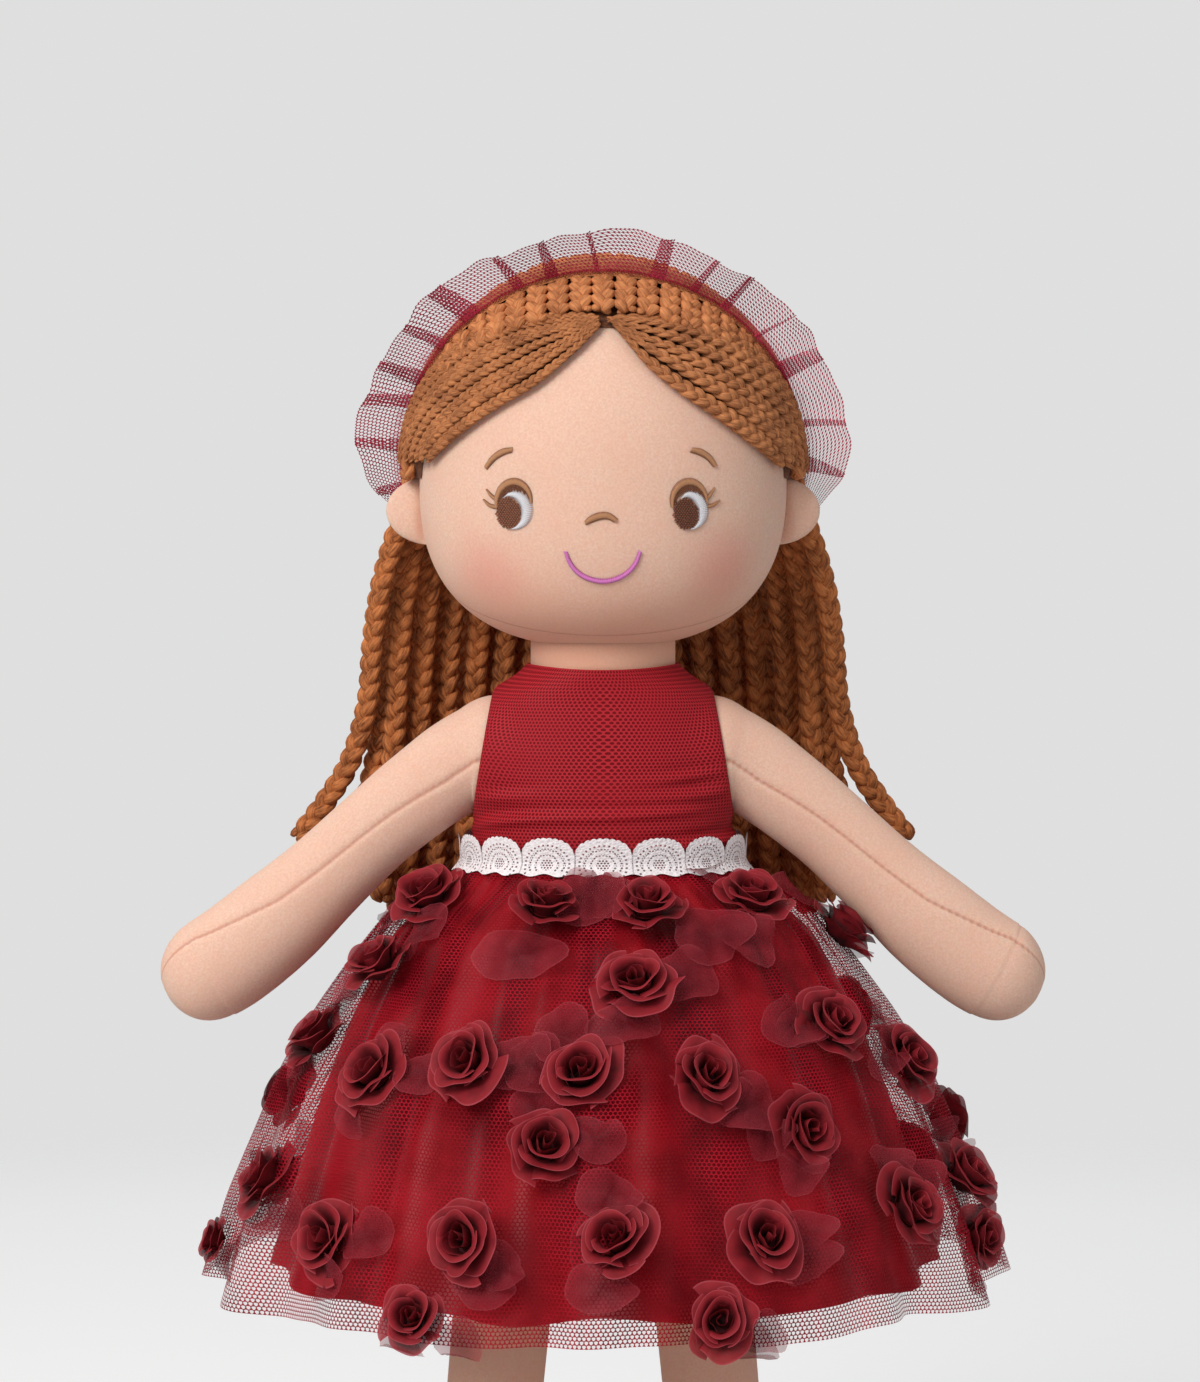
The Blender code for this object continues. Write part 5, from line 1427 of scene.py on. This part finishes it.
# Further small roses of the same kind, with no solid of their own: turn, drop share, size share.
MORE_ROSES = (
    (-80.6, 0.91, 0.62), (71.7, 0.878, 0.85), (-26.3, 0.966, 0.85), (15.8, 0.955, 0.85),
    (-110, 0.62, 0.95), (-150, 0.16, 0.9), (-178, 0.44, 0.95), (158, 0.2, 0.9), (122, 0.42, 0.95),
    (100, 0.66, 0.9), (-120, 0.88, 0.9),
)


def skirt_seat(degrees, drop):
    """A place on the net skirt, the ways out of the cloth and down along it there, and its turn."""

    def smooth_net(turn, drop):
        return skirt_point(turn, drop, "net", folds=False)

    azimuth = math.radians(degrees)
    wide, deep = smooth_net(0.0, drop)[0], -smooth_net(-QUARTER, drop)[1]
    turn = math.atan2(-math.cos(azimuth) / deep, math.sin(azimuth) / wide)
    here = smooth_net(turn, drop)
    beside = smooth_net(turn + 0.02, drop) - smooth_net(turn - 0.02, drop)
    below = smooth_net(turn, min(1.0, drop + 0.04)) - smooth_net(turn, drop - 0.04)
    out = unit(np.cross(below, beside))
    return here, out, unit(below), turn


def petal(middle, span, base, top, low, high, curl, rng):
    """A cupped petal round the rose's axis, from its base out to a lip that rolls outwards.

    middle and span are its turn and width round the axis, base and top its radii, low and high its heights.
    It winds outwards from one edge to the other, so that neighbours overlap as in a wrapped ribbon. Slow
    waves across and up the petal, at random places, crumple it more towards its lip.
    """
    u, v = np.meshgrid(np.linspace(-1.0, 1.0, 26), np.linspace(0.0, 1.0, 9))
    edge = 1.0 - 0.26 * np.abs(u) ** 3.2 + 0.05 * np.sin(2.2 * u + rng.random() * 6.0)
    corner = 1.0 + 0.07 * np.cos(3.4 * u + rng.random() * 6.0) + 0.025 * np.sin(6.0 * u + rng.random() * 6.0)
    radius = base + (top * corner - base) * v**1.25 + curl * np.clip(v - 0.74, 0.0, 1.0) ** 1.2 * 2.0
    a, b, c = rng.random(3) * TURN
    slow = 0.06 * np.sin(4.3 * u + a) * np.cos(2.4 * v + b)
    crumple = v**1.2 * (slow + 0.035 * np.sin(7.9 * u + c + 2.0 * v))
    radius = radius * (1.0 + 0.09 * u) + top * crumple
    height = low + (high - low) * edge * np.sin(v * math.pi * 0.5) - curl * 0.9 * np.clip(v - 0.8, 0.0, 1.0)
    height = height + top * v * (0.07 * np.sin(3.7 * u + b) + 0.035 * np.sin(8.7 * u + a))
    turn = middle + span * u * (0.92 + 0.08 * v)
    points = polar(radius, turn, height)
    return grid(points, uv=join((u + 1.0) / 2.0, v), flip=True)


def round_uv(turns, reach):
    """UVs of a round piece: its turn across, closed by one more column, and how far out it is upwards."""
    across = np.append(turns, turns[:, :1] + TURN, axis=1) / TURN
    return join(across, np.append(reach, reach[:, :1], axis=1))


def rose_parts(size, rng):
    """A wound bud on a small base, two whorls of wrapped petals and a flat outer one, about the Z axis."""
    t, v = np.meshgrid(np.linspace(0.0, 1.0, 60), np.linspace(0.0, 1.0, 6))
    start = rng.random() * TURN
    turn = start + t * TURN * 2.1
    radius = 0.0006 + 0.004 * t + 0.0008 * v * (0.4 + t)
    radius = radius * (1.0 + 0.13 * np.cos(3.2 * turn + start) + 0.05 * np.cos(5.0 * turn))
    height = 0.001 + (0.0074 - 0.0018 * t + 0.0007 * np.sin(turn * 1.5)) * v
    bud = polar(radius, turn, height)
    parts = [grid(bud, uv=join(t, v), flip=True)]
    reach, phi = np.meshgrid(np.linspace(0.0, 0.0052, 4), circle(24), indexing="ij")
    disc = polar(reach, phi, 0.0008 + 0.05 * reach)
    parts.append(grid(disc, True, uv=round_uv(phi, reach / 0.0104), flip=True))
    first = rng.random() * TURN
    for k in range(2):
        parts.append(petal(first + k * math.pi, 1.95, 0.0034, 0.0068, 0.0, 0.0086, 0.0005, rng))
    for k in range(3):
        parts.append(petal(first + 0.7 + k * TURN / 3.0, 1.5, 0.004, 0.0093, -0.0004, 0.0066, 0.001, rng))
    for k in range(3):
        wide, tall = 0.0108 + 0.0026 * rng.random(), 0.002 + 0.0022 * rng.random()
        parts.append(petal(first + 1.5 + k * TURN / 3.0, 1.25, 0.0036, wide, -0.0012, tall, 0.0012, rng))
    angle = rng.random() * math.pi
    across = np.array((math.cos(angle), math.sin(angle), 0.0))
    scaled = []
    for part in parts:
        points = part[0] - 0.13 * (part[0] @ across)[:, None] * across
        scaled.append((points * size, *part[1:]))
    return scaled


# A rose's radius for which rose_parts is laid out.
ROSE_RADIUS = 0.0112


def make_roses(dress):
    """Chiffon roses over the net, and the loose round petals that trail between them."""
    rng = np.random.default_rng(11)
    # The dark colour is the painted shade deep in each rose.
    chiffon = chiffon_material("rose_chiffon", 0.9, (146, 30, 40), (36, 2, 6))
    scale = dress.rose_radius / ROSE_RADIUS
    places = [(degrees, drop, 1.0) for degrees, drop in ROSE_PLACES] + list(MORE_ROSES)
    for number, (degrees, drop, size) in enumerate(places, 1):
        here, out, below, _ = skirt_seat(degrees, drop)
        beside = np.cross(below, out)
        tilt = 0.62 * (rng.random(2) - 0.5)
        up = unit(out + beside * tilt[0] + below * (tilt[1] - 0.04))
        axis = unit(beside - (beside @ up) * up)
        other = np.cross(up, axis)
        parts = []
        for local, *faces in rose_parts(size * scale, rng):
            world = here + out * 0.0009 + local[:, :1] * axis + local[:, 1:2] * other + local[:, 2:] * up
            parts.append((world, *faces))
        piece = build(f"chiffon_rose_{number:02d}", parts, chiffon)
        if number <= len(ROSE_PLACES):
            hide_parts(f"rose_{number:02d}")
        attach(piece, "torso")
        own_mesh(piece)
    make_loose_petals(places, rng)


def make_loose_petals(places, rng):
    """Flat round petals that lie on the net beside the roses, one or two at each, as one piece a side."""
    # The dark colour is painted shade towards each loose petal's middle.
    veil = chiffon_material("petal_chiffon", 0.5, (146, 38, 50), (96, 14, 26))
    rho, phi = np.meshgrid(np.linspace(0.0, 1.0, 9), circle(28), indexing="ij")
    loose = {side: [] for side in SIDES}
    for number, (degrees, drop, size) in enumerate(places):
        at, _, _, turn = skirt_seat(degrees, drop)
        side = "right" if at[0] < 0.0 else "left"
        ripple = 1.0 + 0.13 * np.sin(phi * 2.0 + number * 1.7) + 0.06 * np.sin(phi * 3.0 + number)
        ripple = ripple + 0.03 * np.sin(phi * 7.0)
        curl = 0.0034 * rho**2 * np.sin(phi * 2.0 + number) + 0.0014 * rho * np.sin(phi * 3.0 + number)
        curl = curl + 0.0016 + 0.0004 * (number % 3)
        for _ in range(2 if size > 0.8 else 1):
            bearing = rng.random() * TURN
            reach = 0.011 + 0.004 * rng.random()
            radius = (0.0068 + 0.0024 * rng.random()) * rho * ripple
            across = reach * math.cos(bearing) + radius * np.cos(phi)
            down = reach * math.sin(bearing) + radius * np.sin(phi)
            turns = turn + across / math.hypot(at[0], at[1])
            points = skirt_point(turns, np.clip(drop + down / 0.15, 0.02, 1.03), "net")
            outward = unit(points * (1.0, 1.0, 0.0)) * 0.8 + np.array((0.0, 0.0, 0.5))
            points = points + outward * np.maximum(curl, 0.0007)[..., None]
            loose[side].append(grid(points, True, uv=round_uv(phi, rho), flip=True))
    for side, parts in loose.items():
        piece = build(f"{side}_loose_petals", parts, veil)
        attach(piece, "torso")
        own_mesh(piece)


# Stage

FLOOR_RADIUS = 1.4
# Distances from the doll between which the floor fades into the room.
FLOOR_FADE = (0.95, 1.32)


def floor_material(stage):
    """Pale paper that fades into the room behind it, with a little light of its own for the camera."""
    paper = Recipe("floor_paper", 0.95)
    paper.set("Base Color", (0.6, 0.6, 0.6, 1.0))
    glow = stage.floor_glow
    paper.set("Emission Color", (glow, glow, glow, 1.0))
    paper.set("Emission Strength", paper.seen_directly())
    away = paper.distance(paper.scaled(paper.place(), 1.0, 1.0), (0.0, 0.0, 0.0))
    paper.see_through(paper.ease(away, *FLOOR_FADE, 1.0, 0.0))
    return paper.material


def make_room(stage):
    """Even light from all sides, and a plain pale grey where the camera looks past the floor."""
    world = bpy.data.worlds.new("studio")
    world.use_nodes = True
    room = Nodes(world.node_tree)
    light = room.tree.nodes["Background"]
    room.give(light, "Color", (0.97, 0.985, 1.0, 1.0))
    room.give(light, "Strength", stage.sky_strength)
    pale = room.add("Background", {"Color": linear(223, 223, 223)})
    room.blend(room.seen_directly(), light.outputs[0], pale.outputs[0])
    bpy.context.scene.world = world


def make_stage(stage):
    """A round pale floor in a pale room, a large soft light from the upper left, two weak ones."""
    camera = bpy.data.objects.new("camera", bpy.data.cameras.new("camera"))
    bpy.context.scene.collection.objects.link(camera)
    camera.location = (-0.0009, -stage.camera_distance, stage.camera_height)
    camera.rotation_euler = (QUARTER - stage.camera_tilt, 0.0, 0.0)
    camera.data.lens = stage.lens
    camera.data.sensor_width = 36.0
    camera.data.clip_start = 0.05
    bpy.context.scene.camera = camera
    bpy.context.scene.view_settings.view_transform = "Standard"
    make_room(stage)
    reach, turns = np.meshgrid(np.linspace(0.02, FLOOR_RADIUS, 24), circle(64), indexing="ij")
    ring = polar(reach, turns, -0.0003)
    sweep = build("floor", [grid(ring, True, True, flip=True)], floor_material(stage))
    for name, place, size, power, colour in (
        ("key", (-0.85, -1.25, 1.25), 0.9, stage.key_power, (1.0, 0.985, 0.96)),
        ("fill", (1.2, -1.1, 0.75), 1.1, stage.fill_power, (0.96, 0.98, 1.0)),
        ("top", (0.0, 0.2, 1.7), 1.3, stage.fill_power * 1.6, (1.0, 1.0, 1.0)),
    ):
        light = bpy.data.objects.new(name, bpy.data.lights.new(name, "AREA"))
        bpy.context.scene.collection.objects.link(light)
        light.data.size = size
        light.data.energy = power
        light.data.color = colour
        light.location = place
        aim = np.array((0.0, 0.0, 0.27)) - place
        down = math.atan2(math.hypot(aim[0], aim[1]), -aim[2])
        light.rotation_euler = (down, 0.0, math.atan2(aim[1], aim[0]) - QUARTER)


# Operators and panel


class RAGDOLL_OT_stage(bpy.types.Operator):
    """Makes the camera, the lights, the floor and the pale room"""

    bl_idname = "rag_doll.stage"
    bl_label = "Stage"

    def execute(self, context):
        make_stage(context.scene.rag_doll_stage)
        return {"FINISHED"}


class RAGDOLL_OT_hanging_plaits(bpy.types.Operator):
    """Makes the plaits that hang free round the back of the head"""

    bl_idname = "rag_doll.hanging_plaits"
    bl_label = "Hanging plaits"

    def execute(self, context):
        make_hanging_plaits(context.scene.rag_doll_hair)
        return {"FINISHED"}


class RAGDOLL_OT_crown(bpy.types.Operator):
    """Makes the fringe and the rows of plait sewn over the crown"""

    bl_idname = "rag_doll.crown"
    bl_label = "Crown and fringe"

    def execute(self, context):
        make_fringe(context.scene.rag_doll_hair)
        make_crown(context.scene.rag_doll_hair)
        return {"FINISHED"}


class RAGDOLL_OT_headdress(bpy.types.Operator):
    """Makes the pleated net ruffle and its gathered band"""

    bl_idname = "rag_doll.headdress"
    bl_label = "Headdress"

    def execute(self, context):
        make_headdress(context.scene.rag_doll_headdress)
        return {"FINISHED"}


class RAGDOLL_OT_head(bpy.types.Operator):
    """Makes the stuffed head, its ears and the embroidered face"""

    bl_idname = "rag_doll.head"
    bl_label = "Head and face"

    def execute(self, context):
        make_head(context.scene.rag_doll_head)
        make_face()
        return {"FINISHED"}


class RAGDOLL_OT_body(bpy.types.Operator):
    """Makes the stuffed body, arms and legs"""

    bl_idname = "rag_doll.body"
    bl_label = "Body and limbs"

    def execute(self, context):
        make_body()
        arm_skin = skin_material("velour_arm", arm_seam=True)
        # The legs' skin carries painted shade.
        leg_skin = skin_material("velour_leg", painted_shade=0.3)
        for name, side in SIDES.items():
            make_arm(name, side, arm_skin)
            make_leg(name, side, leg_skin)
        return {"FINISHED"}


class RAGDOLL_OT_dress(bpy.types.Operator):
    """Makes the bodice, the waist lace and both skirts"""

    bl_idname = "rag_doll.dress"
    bl_label = "Dress"

    def execute(self, context):
        make_bodice()
        make_skirts()
        make_lace()
        return {"FINISHED"}


class RAGDOLL_OT_roses(bpy.types.Operator):
    """Makes the chiffon roses and loose petals"""

    bl_idname = "rag_doll.roses"
    bl_label = "Roses"

    def execute(self, context):
        make_roses(context.scene.rag_doll_dress)
        return {"FINISHED"}


OPERATORS = (
    RAGDOLL_OT_stage,
    RAGDOLL_OT_hanging_plaits,
    RAGDOLL_OT_crown,
    RAGDOLL_OT_headdress,
    RAGDOLL_OT_head,
    RAGDOLL_OT_body,
    RAGDOLL_OT_dress,
    RAGDOLL_OT_roses,
)
SETTINGS = {
    "rag_doll_stage": StageSettings,
    "rag_doll_head": HeadSettings,
    "rag_doll_hair": HairSettings,
    "rag_doll_dress": DressSettings,
    "rag_doll_headdress": HeaddressSettings,
}


class RAGDOLL_PT_panel(bpy.types.Panel):
    """Buttons for each piece of the doll and the sizes that they use"""

    bl_idname = "RAGDOLL_PT_panel"
    bl_label = "Rag doll"
    bl_space_type = "VIEW_3D"
    bl_region_type = "UI"
    bl_category = "Rag doll"

    def draw(self, context):
        for kind in OPERATORS:
            self.layout.operator(kind.bl_idname)
        for name, kind in SETTINGS.items():
            box = self.layout.box()
            for key in kind.__annotations__:
                box.prop(getattr(context.scene, name), key)


def register():
    for kind in (*SETTINGS.values(), *OPERATORS, RAGDOLL_PT_panel):
        bpy.utils.register_class(kind)
    for name, kind in SETTINGS.items():
        setattr(bpy.types.Scene, name, PointerProperty(type=kind))


def unregister():
    for name in SETTINGS:
        delattr(bpy.types.Scene, name)
    for kind in reversed((*SETTINGS.values(), *OPERATORS, RAGDOLL_PT_panel)):
        bpy.utils.unregister_class(kind)


def main():
    """Makes every piece in order."""
    register()
    for kind in OPERATORS:
        group, call = kind.bl_idname.split(".")
        getattr(getattr(bpy.ops, group), call)()


if __name__ == "__main__":
    main()
